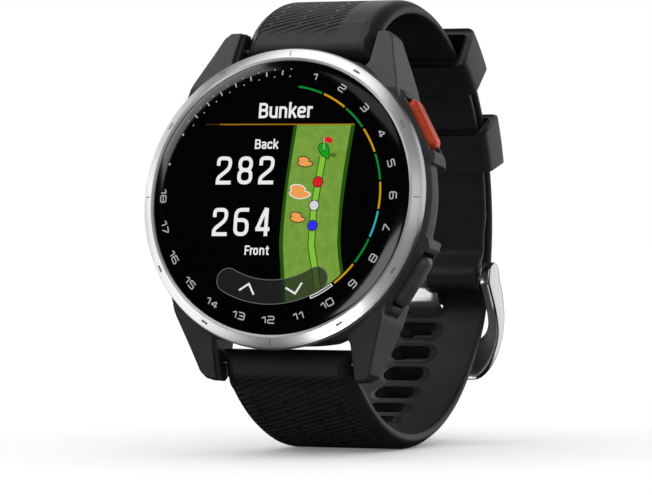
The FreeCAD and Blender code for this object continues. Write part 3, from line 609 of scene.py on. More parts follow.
green_outline = [(5.78, 6.86), (6.08, 7.30), (6.66, 7.40), (7.19, 7.09), (7.40, 6.54), (7.58, 5.91),
                 (7.60, 5.25), (7.34, 5.05), (6.90, 5.36), (6.37, 5.68), (6.00, 6.23)]
green_outline = softened_path(green_outline, 0.3, True)
on_glass("map_green_shadow", [filled([(7.5, 5.67), (8.1, 6.06), (8.71, 5.71), (8.24, 5.28)])],
         lit("display_shadow_green", "#4B6A1F", 1.0), 3)
on_glass("map_green", [filled(green_outline)], lit("display_putting_green", "#0E9A0E", 1.0), 5)
on_glass("map_green_edge", [stroke(green_outline, 0.12, True)], lit("display_dark_edge", "#16300A", 1.0), 6)
flag_red = lit("display_red", "#D5131F", 1.0)
flag = [(6.61, 8.27), (6.94, 8.18), (7.35, 8.26), (8.0, 7.82), (7.76, 7.32), (7.33, 7.40), (6.99, 7.56),
        (6.66, 7.36)]
on_glass("map_flag", [filled(flag)], flag_red, 7)
on_glass("map_flag_pole", [stroke([(6.68, 6.31), (6.66, 8.2)], 0.12)], lit("display_grey", "#A9B0A9", 1.0), 8)


def ball(x, y, radius):
    return [(x + radius * math.cos(math.radians(15 * k)), y + radius * math.sin(math.radians(15 * k)))
            for k in range(24)]


dot_edge = lit("display_near_black", "#20241C", 1.0)
on_glass("map_hole", [filled(ball(6.69, 6.28, 0.14))], dot_edge, 8)
dots = {"red": (6.13, 1.89, flag_red), "silver": (5.80, -1.40, lit("display_silver", "#CFCFCF", 1.0)),
        "blue": (5.78, -4.24, lit("display_blue", "#2B26E6", 1.0))}
for name, (x, y, surface) in dots.items():
    on_glass("map_dot_edge_" + name, [filled(ball(x, y, 0.80))], dot_edge, 6)
    on_glass("map_dot_" + name, [filled(ball(x, y, 0.68))], surface, 7)

sand = lit("display_sand", "#E6994C", 1.0)
bunker = [(-1.12, 0.60), (-0.90, 0.78), (-0.34, 0.84), (0.22, 0.70), (0.58, 0.38), (0.48, 0.16), (0.94, 0.02),
          (1.26, -0.22), (0.90, -0.48), (0.14, -0.68), (-0.52, -0.58), (-1.08, -0.30), (-1.22, -0.04),
          (-0.92, 0.22), (-1.14, 0.40)]
bunkers = {"far": (4.02, 4.66, 1.0, dot_edge), "middle": (3.55, 0.42, 1.36, display_white),
           "near": (3.48, -3.16, 1.0, dot_edge)}
for name, (x, y, scale, edge) in bunkers.items():
    outline = softened_path([(x + scale * px, y + scale * py) for px, py in bunker], 0.3, True)
    on_glass("map_bunker_" + name, [filled(outline)], sand, 3)
    on_glass("map_bunker_edge_" + name, [stroke(outline, 0.13, True)], edge, 5)

line_gold = lit("display_gold_line", "#A87200", 0.9)
on_glass("title_line", [stroke([(-9.5, 10.13), (11.0, 9.99)], 0.16)], line_gold, 4)
on_glass("title_line_tail", [stroke([(-11.6, 10.15), (-9.5, 10.13)], 0.12)],
         lit("display_dim_gold", "#4A3200", 0.9), 4)

DISTANCE_FIGURES = {
    "2": [([(0, 0.70), (0, 1), (1, 1), (1, 0.60), (0, 0.19), (0, -0.07)], False),
          ([(-0.15, 0), (1.14, 0)], False)],
    "8": [([(0.03, 0.515), (0.97, 0.515), (0.97, 1), (0.03, 1)], True),
          ([(0, 0), (1, 0), (1, 0.515), (0, 0.515)], True)],
    "6": [([(1.10, 1), (0, 1), (0, 0), (1, 0), (1, 0.58), (0.02, 0.58)], False)],
    "4": [([(0.77, 1.07), (0.50, 0.78), (0.06, 0.208)], False), ([(-0.08, 0.208), (1.12, 0.208)], False),
          ([(0.81, 1.07), (0.81, -0.075)], False)],
}
DISTANCE_SIZE = (1.78, 3.45)
DISTANCE_STROKE = 0.54
for name, text, middle in (("back", "282", (-5.07, 3.57)), ("front", "264", (-5.09, -3.74))):
    rows = figures(text, DISTANCE_FIGURES, DISTANCE_SIZE, DISTANCE_STROKE, 1.475, 0.9)
    on_glass("distance_" + name, turned(rows, 0, middle), display_white, 2)

# condensed letters in cap heights: each is its advance and its strokes' middle lines
LETTERS = {
    "B": (0.745, [([(0.085, 0), (0.085, 1)], False),
                  ([(0.085, 0.915), (0.545, 0.915), (0.545, 0.52), (0.085, 0.52)], False),
                  ([(0.085, 0.52), (0.575, 0.52), (0.575, 0.085), (0.085, 0.085)], False)]),
    "F": (0.605, [([(0.085, 0), (0.085, 1)], False), ([(0.085, 0.915), (0.55, 0.915)], False),
                  ([(0.085, 0.49), (0.49, 0.49)], False)]),
    "a": (0.635, [([(0.09, 0.58), (0.09, 0.68), (0.44, 0.68), (0.44, 0)], False),
                  ([(0.44, 0.41), (0.085, 0.41), (0.085, 0.08), (0.44, 0.08)], False)]),
    "c": (0.650, [([(0.46, 0.50), (0.46, 0.68), (0.085, 0.68), (0.085, 0.08), (0.46, 0.08),
                    (0.46, 0.26)], False)]),
    "e": (0.690, [([(0.10, 0.385), (0.515, 0.385), (0.515, 0.68), (0.085, 0.68), (0.085, 0.08), (0.5, 0.08),
                    (0.53, 0.16)], False)]),
    "k": (0.610, [([(0.085, 0), (0.085, 1.04)], False), ([(0.10, 0.27), (0.50, 0.76)], False),
                  ([(0.24, 0.45), (0.52, 0)], False)]),
    "n": (0.680, [([(0.085, 0), (0.085, 0.765)], False),
                  ([(0.085, 0.5), (0.085, 0.68), (0.485, 0.68), (0.485, 0)], False)]),
    "o": (0.690, [([(0.085, 0.08), (0.085, 0.68), (0.465, 0.68), (0.465, 0.08)], True)]),
    "r": (0.385, [([(0.085, 0), (0.085, 0.765)], False),
                  ([(0.085, 0.44), (0.085, 0.67), (0.37, 0.67)], False)]),
    "t": (0.420, [([(0.20, 0.95), (0.20, 0.08), (0.40, 0.08)], False), ([(0, 0.68), (0.40, 0.68)], False)]),
    "u": (0.685, [([(0.085, 0.765), (0.085, 0.08), (0.50, 0.08), (0.50, 0.25)], False),
                  ([(0.50, 0), (0.50, 0.765)], False)]),
}
LETTER_STROKE = 0.165


def words(text, left, base, cap):
    """A word whose capitals are cap tall, from its left edge and its base line."""
    parts = []
    for letter in text:
        advance, lines = LETTERS[letter]
        for path, closed in lines:
            spots = softened_path([(left + x * cap, base + y * cap) for x, y in path], 0.22 * cap, closed)
            parts.append(stroke(spots, LETTER_STROKE * cap, closed))
        left += advance * cap
    return parts


on_glass("title_bunker", words("Bunker", -3.62, 10.98, 2.16), display_white, 2)
on_glass("label_back", words("Back", -3.86, 6.60, 1.38), display_white, 2)
on_glass("label_front", words("Front", -4.27, -8.39, 1.34), display_white, 2)

BAR_RADIUS = 13.6
BAR_HALF = 1.7
BAR_ENDS = (149.3, 208.3)


def bar_cap(clock, first):
    """The half round end of the touch bar."""
    middle = np.array(dial_spot(clock, BAR_RADIUS))
    return [tuple(middle + BAR_HALF * np.array(dial_spot(first - 15 * k, 1))) for k in range(1, 12)]


bar_outline = arc(BAR_RADIUS - BAR_HALF, *BAR_ENDS) + bar_cap(BAR_ENDS[1], BAR_ENDS[1] + 180) + \
    arc(BAR_RADIUS + BAR_HALF, *BAR_ENDS[::-1]) + bar_cap(BAR_ENDS[0], BAR_ENDS[0])
touch_bar, bar_tree, bar_shader = material("display_touch_bar", Base_Color=linear("#060606"), Roughness=0.25,
                                           Alpha=0.84, Emission_Strength=1.0)
bar_place = add(bar_tree, "TexCoord", {})
bar_grain = add(bar_tree, "TexNoise", {"Scale": 900.0}, {"Vector": bar_place.outputs["Object"]})
bar_shade = add(bar_tree, "ValToRGB", {}, {"Fac": bar_grain.outputs["Fac"]})
bar_shade.color_ramp.elements[0].color = linear("#171718")
bar_shade.color_ramp.elements[1].color = linear("#1C1C1D")
bar_tree.links.new(bar_shade.outputs["Color"], bar_shader.inputs["Emission Color"])
on_glass("touch_bar", [filled(bar_outline)], touch_bar, 9)
on_glass("touch_bar_edge", [stroke(bar_outline, 0.09, True)], lit("display_bar_edge", "#6C7068", 0.9), 10)
on_glass("touch_bar_split", [stroke([(0.2, -11.95), (0.2, -15.25)], 0.09)], dot_edge, 10)
on_glass("touch_arrows", [stroke([(-4.62, -13.38), (-3.20, -12.46), (-2.36, -13.98)], 0.27),
                          stroke([(2.40, -12.97), (3.90, -13.78), (4.82, -12.26)], 0.27)], display_white, 11)


# ==== Side buttons: anodised aluminium bars ===================================================
# Machined bars with bevelled long edges, the upper one anodised red with two grip lines, the lower one
# dark grey. The bead-blasted skin under the anodising scatters light, so the bevels read as soft bands.
def button_skin(name, dark, light):
    return grained(name, dark, light, 14000, (0.30, 0.42), 0.00001, metal=0.55)


BUTTON_HALF_LENGTH = 3.85
BUTTON_HALF_HEIGHT = 1.55
BUTTON_END_RADIUS = 1.15
BUTTON_DEPTH = 4.85
BUTTON_LAYERS = [(21.36, 0.0), (22.28, 0.0), (22.34, 0.03), (22.70, 0.40), (22.76, 0.50), (22.80, 0.66)]
CORNER_STEPS = 8
GRIP_OFFSET = 0.32        # either side of the red bar's middle
GRIP_HALF_WIDTH = 0.10
GRIP_HALF_LENGTH = 2.75
GRIP_CUT = (-0.14, 0.10)  # below and above the bar's outer face


def rounded_rectangle(low, high, half, corner, steps):
    """Points round a rectangle from -half to half and from low to high."""
    spots = []
    for x, r, first in ((half - corner, high - corner, 0), (-half + corner, high - corner, 90),
                        (-half + corner, low + corner, 180), (half - corner, low + corner, 270)):
        for k in range(steps + 1):
            a = math.radians(first + 90 * k / steps)
            spots.append((x + corner * math.cos(a), r + corner * math.sin(a)))
    return spots


def button_bar(clock_deg):
    """A rounded bar built outwards in layers, each drawn in by its bevel."""
    points = []
    for radius, inset in BUTTON_LAYERS:
        half_height = BUTTON_HALF_HEIGHT - inset
        outline = rounded_rectangle(-half_height, half_height, BUTTON_HALF_LENGTH - inset,
                                    BUTTON_END_RADIUS - 0.6 * inset, CORNER_STEPS)
        points += [at_clock(clock_deg, radius, along, BUTTON_DEPTH + depth) for along, depth in outline]
    return points, swept_faces(len(BUTTON_LAYERS), len(outline))


def grip_lines(clock_deg):
    """Two thin blocks that cut the grip lines into the bar's outer face."""
    lines = []
    for off in (-GRIP_OFFSET, GRIP_OFFSET):
        corners = [at_clock(clock_deg, BUTTON_LAYERS[-1][0] + rise, along, BUTTON_DEPTH + off + depth)
                   for rise in GRIP_CUT for along in (-GRIP_HALF_LENGTH, GRIP_HALF_LENGTH)
                   for depth in (-GRIP_HALF_WIDTH, GRIP_HALF_WIDTH)]
        lines.append((corners, BLOCK_FACES))
    return merged(lines)


action_red = button_skin("blasted_anodised_red", "#B23B22", "#C2462A")
back_grey = button_skin("blasted_anodised_grey", "#3B3C3E", "#434446")
for name, surface, slot in (("action_button", action_red, "button_red"),
                            ("back_button", back_grey, "button_grey")):
    bar = shown(name + "_bar", mesh_from(name + "_bar", *button_bar(BUTTON_CLOCKS[name])))
    if name == "action_button":
        cut(bar, *grip_lines(BUTTON_CLOCKS[name]))
    settle(bar, name, surface, [name], 24)


# ==== Strap: moulded silicone ================================================================
# Two black silicone straps on quick-release bars. The face has a sunk field of slanting grooves and
# bevelled margins; the skin is matt with a faint bloom where light grazes it.
UPPER_THICKNESS = 2.1
LOWER_THICKNESS = 2.3
TAIL_RADIUS = LOOP_RADIUS + UPPER_THICKNESS + 0.4
STRAP_HALF = 9.9
BEVEL_START = 8.15        # the margin's bevel begins this far from the middle
GROOVE_PITCH = 1.09       # along the strap
GROOVE_WIDTH = 0.40
GROOVE_DEPTH = 0.30
GROOVE_SLOPE = 0.5
GROOVE_BREAKS = (-6.75, -2.45, 1.80, 6.05)
BREAK_WIDTH = 0.50
GROOVE_ORIGIN = -6.75     # the grooves are counted from here across the strap
MARGIN_HALF = 0.16        # a fine line where the bevel begins
MARGIN_DEPTH = 0.16
FINE_STEP = 0.10
ROOT_POINTS = 90


def strap_sides(start_deg, steps, thickness, pitch):
    """Inner and outer edge of a strap in side view, as (y, d) points at even steps."""
    centre, deg, last = np.array([0, LOOP_D]), start_deg, None
    inner, outer = [], []
    for kind, *values in steps:
        u = outward(deg)
        if kind == "straight":
            ahead = np.array([-u[1], u[0]]) * values[0]
            base = inner[-1]
            for t in np.arange(pitch, values[0], pitch) / values[0]:
                inner.append(base + ahead * t)
                outer.append(base + ahead * t + u * thickness)
            centre = centre + ahead
            continue
        radius, end_deg = values
        if last is not None:
            centre = centre + (last - radius) * u
        count = max(2, int(abs(math.radians(end_deg - deg)) * (radius + thickness) / pitch))
        for angle in np.linspace(deg, end_deg, count + 1)[0 if last is None else 1:]:
            inner.append(centre + radius * outward(angle))
            outer.append(centre + (radius + thickness) * outward(angle))
        last, deg = radius, end_deg
    return np.array(inner), np.array(outer)


def flowing(points, count):
    """A smooth curve through points, at even steps."""
    points = np.array(points, float)
    padded = np.vstack([2 * points[0] - points[1], points, 2 * points[-1] - points[-2]])
    fine = []
    for i in range(1, len(padded) - 2):
        a, b, c, d = padded[i - 1:i + 3]
        for t in np.linspace(0, 1, 12, endpoint=False):
            fine.append(0.5 * (2 * b + (c - a) * t + (2 * a - 5 * b + 4 * c - d) * t ** 2
                               + (3 * b - a - 3 * c + d) * t ** 3))
    fine = np.array(fine + [points[-1]])
    reach = np.r_[0, np.cumsum(np.linalg.norm(np.diff(fine, axis=0), axis=1))]
    even = np.linspace(0, reach[-1], count)
    return np.column_stack([np.interp(even, reach, fine[:, 0]), np.interp(even, reach, fine[:, 1])])


def root_ends(inner_end, outer_end, side, count):
    """The eye round the spring bar: both edges flow round it and meet under the case."""
    inner = [(abs(inner_end[0]), inner_end[1]), (24.65, 10.0), (23.6, 9.65), (22.6, 9.52), (21.5, 9.35),
             (20.75, 8.8), (20.38, 7.9), (20.42, 7.2), (20.62, 6.63)]
    outer = [(abs(outer_end[0]), outer_end[1]), (abs(outer_end[0]) - 1.25, outer_end[1] - 1.45), (24.6, 6.75),
             (23.3, 5.9), (22.3, 5.65), (21.6, 5.75), (21.0, 6.15), (20.62, 6.63)]
    flip = np.array([side, 1.0])
    return flowing(inner, count)[1:] * flip, flowing(outer, count)[1:] * flip


def section(fine_from, fine_to):
    """The strap's cross-section as (across, share of thickness) points, closed, outer face first."""
    outer = np.r_[np.arange(-9.2, fine_from, 0.3), np.arange(fine_from, fine_to, FINE_STEP),
                  np.arange(fine_to, 9.3, 0.3)]
    loop = []
    for t in outer:
        over = max(0.0, abs(t) - BEVEL_START)
        loop.append((t, 1 - 0.17 * over - 0.09 * over ** 2))
    right = [(9.55, 0.60), (9.75, 0.50), (9.88, 0.38), (9.9, 0.24), (9.8, 0.10), (9.6, 0.02), (9.35, 0.0)]
    inner = [(t, 0.0) for t in np.arange(9.0, -9.05, -0.3)]
    left = [(-t, w) for t, w in reversed(right)]
    return np.array(loop + right + inner + left)


def strap_mesh(name, inner, outer, loop, along, groove, widths, lip=None):
    """Sweeps the cross-section between the two edges; groove and lip give heights off the faces."""
    across, share = loop.T
    thick = outer - inner
    size = np.linalg.norm(thick, axis=1)
    unit = thick / np.maximum(size, 1e-6)[:, None]
    t = across[None, :] * widths[:, None]
    yd = inner[:, None, :] + thick[:, None, :] * share[None, :, None]
    face = (share[None, :] > 0.7) & (size[:, None] > 1.2)
    down = groove(t, along[:, None]) * face
    if lip is not None:
        down = down + lip(t, along[:, None]) * (share[None, :] < 0.005)
    yd = yd - down[..., None] * unit[:, None, :]
    points = np.column_stack([t.ravel(), yd[..., 0].ravel(), yd[..., 1].ravel()])
    rows, cols = t.shape
    return shown(name, mesh_from(name, points, swept_faces(rows, cols)))


def groove_field(first, last, left, right, rise, phase):
    """Depth of the slanting grooves: every other groove is broken into dashes."""
    def depth(t, u):
        line = (u - phase - rise * (t - GROOVE_ORIGIN)) / GROOVE_PITCH
        number = np.round(line)
        off = np.abs(line - number) * GROOVE_PITCH * math.cos(math.atan(GROOVE_SLOPE))
        cut_in = np.clip((GROOVE_WIDTH / 2 + 0.05 - off) / 0.1, 0, 1)
        inside = (t > left) & (t < right)
        broken = np.zeros(np.broadcast(t, u).shape, bool)
        for spot in GROOVE_BREAKS:
            broken |= np.abs(t - spot) < BREAK_WIDTH / 2
        broken &= np.mod(number, 2) == 0
        fade = np.clip((u - first) / 3.0, 0, 1) * np.clip((last - u) / 0.2, 0, 1)
        margin = np.clip((MARGIN_HALF - np.abs(np.abs(t) - BEVEL_START)) / 0.08, 0, 1) * MARGIN_DEPTH
        return cut_in * inside * ~broken * fade * GROOVE_DEPTH + margin
    return depth


silicone = grained("matt_black_silicone", "#131314", "#171718", 12000, (0.44, 0.56), 0.000015, IOR=1.41)

upper_inner, upper_outer = strap_sides(BUCKLE_DEG + 12, [("arc", 31.2, 70.94), ("arc", 24.2, 114.6),
                                                         ("arc", 18.35, 131.0)], UPPER_THICKNESS, FINE_STEP)
bar_up = outward(BUCKLE_DEG)
bar_along = np.array([bar_up[1], -bar_up[0]])


def by_bar(u, v):
    """A (y, d) point u out from the buckle bar and v up the strap."""
    return BUCKLE_BAR + u * bar_up + v * bar_along


BARREL_POINTS = 34
barrel_inner = [by_bar(u, v) for u, v in ((0, -2.05), (-0.8, -1.89), (-1.5, -1.4), (-1.95, -0.6),
                                          (-2.05, 0.2), (-1.75, 1.15), (-1.15, 2.1), (-0.5, 3.1),
                                          (-0.15, 4.2))]
barrel_outer = [by_bar(u, v) for u, v in ((0, -2.05), (0.8, -1.89), (1.45, -1.45), (1.95, -0.7), (2.08, 0.3),
                                          (2.12, 1.5), (2.08, 3.2))]
barrel_inner = flowing(barrel_inner + [upper_inner[0]], BARREL_POINTS)[:-1]
barrel_outer = flowing(barrel_outer + [upper_outer[0]], BARREL_POINTS)[:-1]
root_inner, root_outer = root_ends(upper_inner[-1], upper_outer[-1], 1, ROOT_POINTS)
upper_inner = np.vstack([barrel_inner, upper_inner, root_inner])
upper_outer = np.vstack([barrel_outer, upper_outer, root_outer])
upper_along = np.r_[0, np.cumsum(np.linalg.norm(np.diff(upper_outer, axis=0), axis=1))]
upper_root_start = upper_along[-len(root_outer) - 1]
upper_u = upper_root_start - upper_along
upper_width = 1 - 0.03 * np.clip((upper_u - 60) / 3, 0, 1) + 0.02 * np.clip(-upper_u / 3, 0, 1)
upper_strap = strap_mesh("upper_strap_band", upper_inner, upper_outer, section(-9.1, 4.1), upper_u,
                         groove_field(-4.5, 27.0, -8.95, 3.85, GROOVE_SLOPE, -1.5), upper_width)
# the gap in the barrel that the tongue turns in
cut(upper_strap, *block((1.9, 2.65, 2.6), Matrix.Translation((0, BUCKLE_BAR[0] - 0.35, BUCKLE_BAR[1]))))
settle(upper_strap, "watch", silicone, ["upper_strap"], 50)

TAIL_DEG = 58.0
lower_steps = [("arc", TAIL_RADIUS, -13.3), ("arc", 16.0, -32.0), ("straight", 3.7), ("arc", 29.14, -122.4)]
lower_inner, lower_outer = strap_sides(TAIL_DEG, lower_steps, LOWER_THICKNESS, FINE_STEP)
tail_reach = np.r_[0, np.cumsum(np.linalg.norm(np.diff(lower_inner, axis=0), axis=1))]
root_inner, root_outer = root_ends(lower_inner[-1], lower_outer[-1], -1, ROOT_POINTS)
lower_inner = np.vstack([lower_inner, root_inner])
lower_outer = np.vstack([lower_outer, root_outer])
lower_along = np.r_[0, np.cumsum(np.linalg.norm(np.diff(lower_outer, axis=0), axis=1))]
lower_u = lower_along[-len(root_outer) - 1] - lower_along
TIP_RADIUS = 6.0
tip = np.clip(TIP_RADIUS - lower_along, 0, TIP_RADIUS)
lower_width = (STRAP_HALF - TIP_RADIUS + np.sqrt(TIP_RADIUS ** 2 - (tip * 0.93) ** 2)) / STRAP_HALF

HOLE_PITCH = 4.3
TONGUE_SLOT_DEG = -11.6
SLOT_HALF = 1.75          # from a slot's middle to the middle of its round end
SLOT_END_RADIUS = 1.35
LIP_HEIGHT = 0.22
tongue_reach = math.radians(TAIL_DEG - TONGUE_SLOT_DEG) * TAIL_RADIUS
slot_reach = [tongue_reach + HOLE_PITCH * k for k in range(-4, 7)]
slot_index = [int(np.argmin(np.abs(tail_reach - reach))) for reach in slot_reach]
slot_u = [lower_u[i] for i in slot_index]


def slot_lip(t, u):
    """A raised lip round each slot on the wrist side (negative is outwards from the face)."""
    height = np.zeros(np.broadcast(t, u).shape)
    for spot in slot_u:
        away = np.hypot(np.maximum(np.abs(t) - SLOT_HALF, 0), u - spot) - SLOT_END_RADIUS
        height += np.clip(1 - np.abs(away - 0.15) / 0.55, 0, 1) ** 0.6 * LIP_HEIGHT
    return height


lower_strap = strap_mesh("lower_strap_band", lower_inner, lower_outer, section(-8.9, 8.4), lower_u,
                         groove_field(-4.5, 30.0, -8.85, 8.12, -GROOVE_SLOPE, -0.5), lower_width, slot_lip)
# each slot flares a little on the wrist side and narrows towards the outer face
NARROWING = {3: 0.3, 4: 0.8, 5: 0.3}      # by number, with the tongue's slot as 4; 0.7 for the rest
slot_outline = [(SLOT_HALF * side + SLOT_END_RADIUS * math.sin(math.radians(a)),
                 SLOT_END_RADIUS * math.cos(math.radians(a)))
                for side, first in ((1, 0), (-1, 180)) for a in range(first, first + 181, 15)]
slots = []
for number, i in enumerate(slot_index):
    normal = lower_outer[i] - lower_inner[i]
    normal /= np.linalg.norm(normal)
    ahead = np.array([-normal[1], normal[0]])
    narrow = NARROWING.get(number, 0.7)
    layers = ((-2.0, 1.10), (-0.05, 1.07), (0.35, 1.0), (1.2, narrow), (5.0, narrow))
    rims = []
    for off, grow in layers:
        for x, v in slot_outline:
            rims.append((x * (1 + (grow - 1) * 0.5), *(lower_inner[i] + normal * off + ahead * v * grow)))
    slots.append((rims, swept_faces(len(layers), len(slot_outline))))
cut(lower_strap, *merged(slots))
settle(lower_strap, "watch", silicone, ["lower_strap"], 50)


# ==== Keepers: moulded silicone loops ==========================================================
# Two loops that slide on the doubled strap and hold its tail. They are the strap's own silicone, with
# rounded corners all round, slightly smoother than the grooved strap.
KEEPER_INNER = (31.0, 36.2, 10.2)
KEEPER_OUTER = (29.8, 37.4, 11.6)


KEEPER_LENGTH_DEG = 11.4
KEEPER_SOFT = 0.45        # radius of its rounded ends


def keeper(name, middle_deg):
    """Sections from one end to the other, each end drawn in to round it, outside then inside."""
    first, last = middle_deg - KEEPER_LENGTH_DEG / 2, middle_deg + KEEPER_LENGTH_DEG / 2
    soft_deg = math.degrees(KEEPER_SOFT / 34)
    stations = []
    for k in range(6):
        a = math.radians(15 + 15 * k)
        stations.append((first + soft_deg * (1 - math.sin(a)), KEEPER_SOFT * (1 - math.sin(a))))
    ends = stations + [(a, 0) for a in np.linspace(first + soft_deg, last - soft_deg, 10)[1:-1]] + \
        [(first + last - a, inset) for a, inset in reversed(stations)]
    points, rows = [], 0
    for angle, inset in ends:
        low, high, half = KEEPER_OUTER
        for x, r in rounded_rectangle(low + inset, high - inset, half - inset, 1.5 - inset, 6):
            points.append((x, *(np.array([0, LOOP_D]) + r * outward(angle))))
        rows += 1
    for angle, inset in reversed(ends):
        low, high, half = KEEPER_INNER
        for x, r in rounded_rectangle(low - inset * 0.6, high + inset * 0.6, half + inset * 0.6, 0.6, 6):
            points.append((x, *(np.array([0, LOOP_D]) + r * outward(angle))))
        rows += 1
    cols = len(points) // rows
    faces = [(i * cols + k, i * cols + (k + 1) % cols, (i + 1) % rows * cols + (k + 1) % cols,
              (i + 1) % rows * cols + k) for i in range(rows) for k in range(cols)]
    loop = shown(name + "_loop", mesh_from(name, points, faces))
    settle(loop, name, silicone, [name], 50)


keeper("upper_keeper", 55.6)
keeper("lower_keeper", 30.7)


# ==== Buckle: stainless steel ==================================================================
# A cast and polished frame cranked round the strap, its flanks brushed along their length, with a bent
# plate tongue. Both turn on one steel bar through the strap's end.
FRAME_INNER_HALF = 10.3
FRAME_OUTER_HALF = 12.0
EYE_RADIUS = 2.35
buckle_steel = brushed("polished_brushed_steel", "#B4B5B6", "#D2D3D4", (0.14, 0.26), 0.35)


# wrist side and outer side of the frame in side view, from its eye down to its end bar
edge_inside = [BUCKLE_BAR + EYE_RADIUS * outward(a) for a in (100, 150, 200)]
edge_inside += [(-3.9, 51.9), (-5.3, 53.3), (-7.7, 55.45), (-10.8, 57.15), (-12.8, 57.45), (-15.2, 57.35),
                (-17.2, 57.1), (-17.6, 57.7)]
edge_outside = [BUCKLE_BAR + EYE_RADIUS * outward(a) for a in (100, 60, 30)]
edge_outside += [(-2.6, 56.5), (-4.4, 58.0), (-7.1, 59.15), (-9.8, 59.45), (-13.0, 59.40), (-15.4, 59.2),
                 (-17.2, 58.8), (-17.6, 58.3)]
edge_inside, edge_outside = flowing(edge_inside, 120), flowing(edge_outside, 120)


def frame_spot(x, share, w):
    """A point of the frame: x across, share from 0 at the eye to 1 at the end, w from wrist to outer side."""
    place = share * (len(edge_inside) - 1)
    low = int(min(place, len(edge_inside) - 2))
    a = edge_inside[low] + (edge_inside[low + 1] - edge_inside[low]) * (place - low)
    b = edge_outside[low] + (edge_outside[low + 1] - edge_outside[low]) * (place - low)
    return (x, *(a + (b - a) * w))


# the loop in plan: up the left arm, round the end bar and down the right arm, as the outer and the inner
# edge's (x, distance from the eye)
CORNER_OUTER = 4.8
CORNER_INNER = 2.6
END_OUTER = 17.0
END_INNER = 11.6
turn_start = END_INNER - CORNER_INNER
plan = [((-FRAME_OUTER_HALF, s), (-FRAME_INNER_HALF, s)) for s in np.linspace(0, turn_start, 26)]
for k in range(1, 13):
    a = math.radians(90 * k / 12)
    plan.append(((-FRAME_OUTER_HALF + CORNER_OUTER * (1 - math.cos(a)),
                  turn_start + (END_OUTER - turn_start) * math.sin(a)),
                 (-FRAME_INNER_HALF + CORNER_INNER * (1 - math.cos(a)),
                  turn_start + CORNER_INNER * math.sin(a))))
arm_and_corner = list(plan)
for x in np.linspace(-1, 1, 15)[1:-1]:
    plan.append(((x * (FRAME_OUTER_HALF - CORNER_OUTER), END_OUTER),
                 (x * (FRAME_INNER_HALF - CORNER_INNER), END_INNER)))
plan += [((-a[0], a[1]), (-b[0], b[1])) for a, b in reversed(arm_and_corner)]
# the bar's own outline: shares from the outer to the inner edge, and from the wrist to the outer side
rim = [(0.0, 0.18), (0.0, 0.82), (0.04, 0.92), (0.10, 0.985), (0.2, 1.0), (0.8, 1.0), (0.90, 0.985),
       (0.96, 0.92), (1.0, 0.82), (1.0, 0.18), (0.96, 0.08), (0.90, 0.015), (0.8, 0.0), (0.2, 0.0),
       (0.10, 0.015), (0.04, 0.08)]
frame_points, frame_maps = [], []
travelled = 0.0
for n, (out_spot, in_spot) in enumerate(plan):
    out_spot, in_spot = np.array(out_spot), np.array(in_spot)
    if n:
        travelled += np.linalg.norm((out_spot + in_spot) / 2 - last_middle)
    last_middle = (out_spot + in_spot) / 2
    for v, w in rim:
        x, s = out_spot + (in_spot - out_spot) * v
        frame_points.append(frame_spot(x, min(s / END_OUTER, 1.0), w))
        frame_maps.append((travelled, v * 2 + w * 2))
frame_faces = swept_faces(len(plan), len(rim))
corner_maps = [frame_maps[i] for face in frame_faces for i in face]
buckle = shown("buckle_loop", mesh_from("buckle_loop", frame_points, frame_faces, corner_maps))
settle(buckle, "buckle_frame", buckle_steel, ["buckle_frame"], 50)

# the tongue: an eye on the bar, a narrow neck and a wider plate that comes out through the slot
TONGUE_HALF = 0.4         # half its thickness
TONGUE_EYE_RADIUS = 1.1
TONGUE_POINTS = 110
tongue_line = [BUCKLE_BAR + TONGUE_EYE_RADIUS * outward(a) for a in (40, 90, 140, 190, 235)]
tongue_line += [(-4.2, 53.9), (-5.6, 54.5), (-6.45, 55.2), (-7.5, 57.2), (-8.6, 58.75), (-10.6, 59.35),
                (-13.2, 59.42), (-15.6, 59.4)]
tongue_line = flowing(tongue_line, TONGUE_POINTS)
tongue_points, tongue_maps = [], []
reach = 0.0
for i, spot in enumerate(tongue_line):
    behind = tongue_line[max(i - 1, 0)]
    ahead = tongue_line[min(i + 1, TONGUE_POINTS - 1)] - behind
    ahead /= np.linalg.norm(ahead)
    side = np.array([ahead[1], -ahead[0]])
    reach += np.linalg.norm(spot - behind)
    wide = np.interp(reach, [0, 4.9, 5.4, 17.5, 18.6, 19.4], [1.5, 1.5, 2.7, 2.7, 2.1, 0.9])
    half = TONGUE_HALF * np.interp(reach, [0, 18.6, 19.4], [1, 1, 0.5])
    for v, w in rim:
        tongue_points.append((wide * (1 - 2 * v), *(spot + side * half * (2 * w - 1))))
        tongue_maps.append((reach, v * 2 + w * 2))
tongue_faces = swept_faces(TONGUE_POINTS, len(rim))
corner_maps = [tongue_maps[i] for face in tongue_faces for i in face]
tongue_mesh = mesh_from("buckle_tongue_plate", tongue_points, tongue_faces, corner_maps)
settle(shown("buckle_tongue_plate", tongue_mesh), "buckle_tongue", buckle_steel,
       ["buckle_tongue"], 50)


# ==== Pieces that keep their machined shape =====================================================
# Bars, screws, contacts, seals and the parts inside the case are simple shapes, so they keep the CAD
# solid and only take their finish here.
def finish_cad(nodes, surface):
    """Gives CAD nodes their material."""
    for name in nodes:
        mesh = frame["nodes"][name].data
        mesh.materials.clear()
        mesh.materials.append(surface)


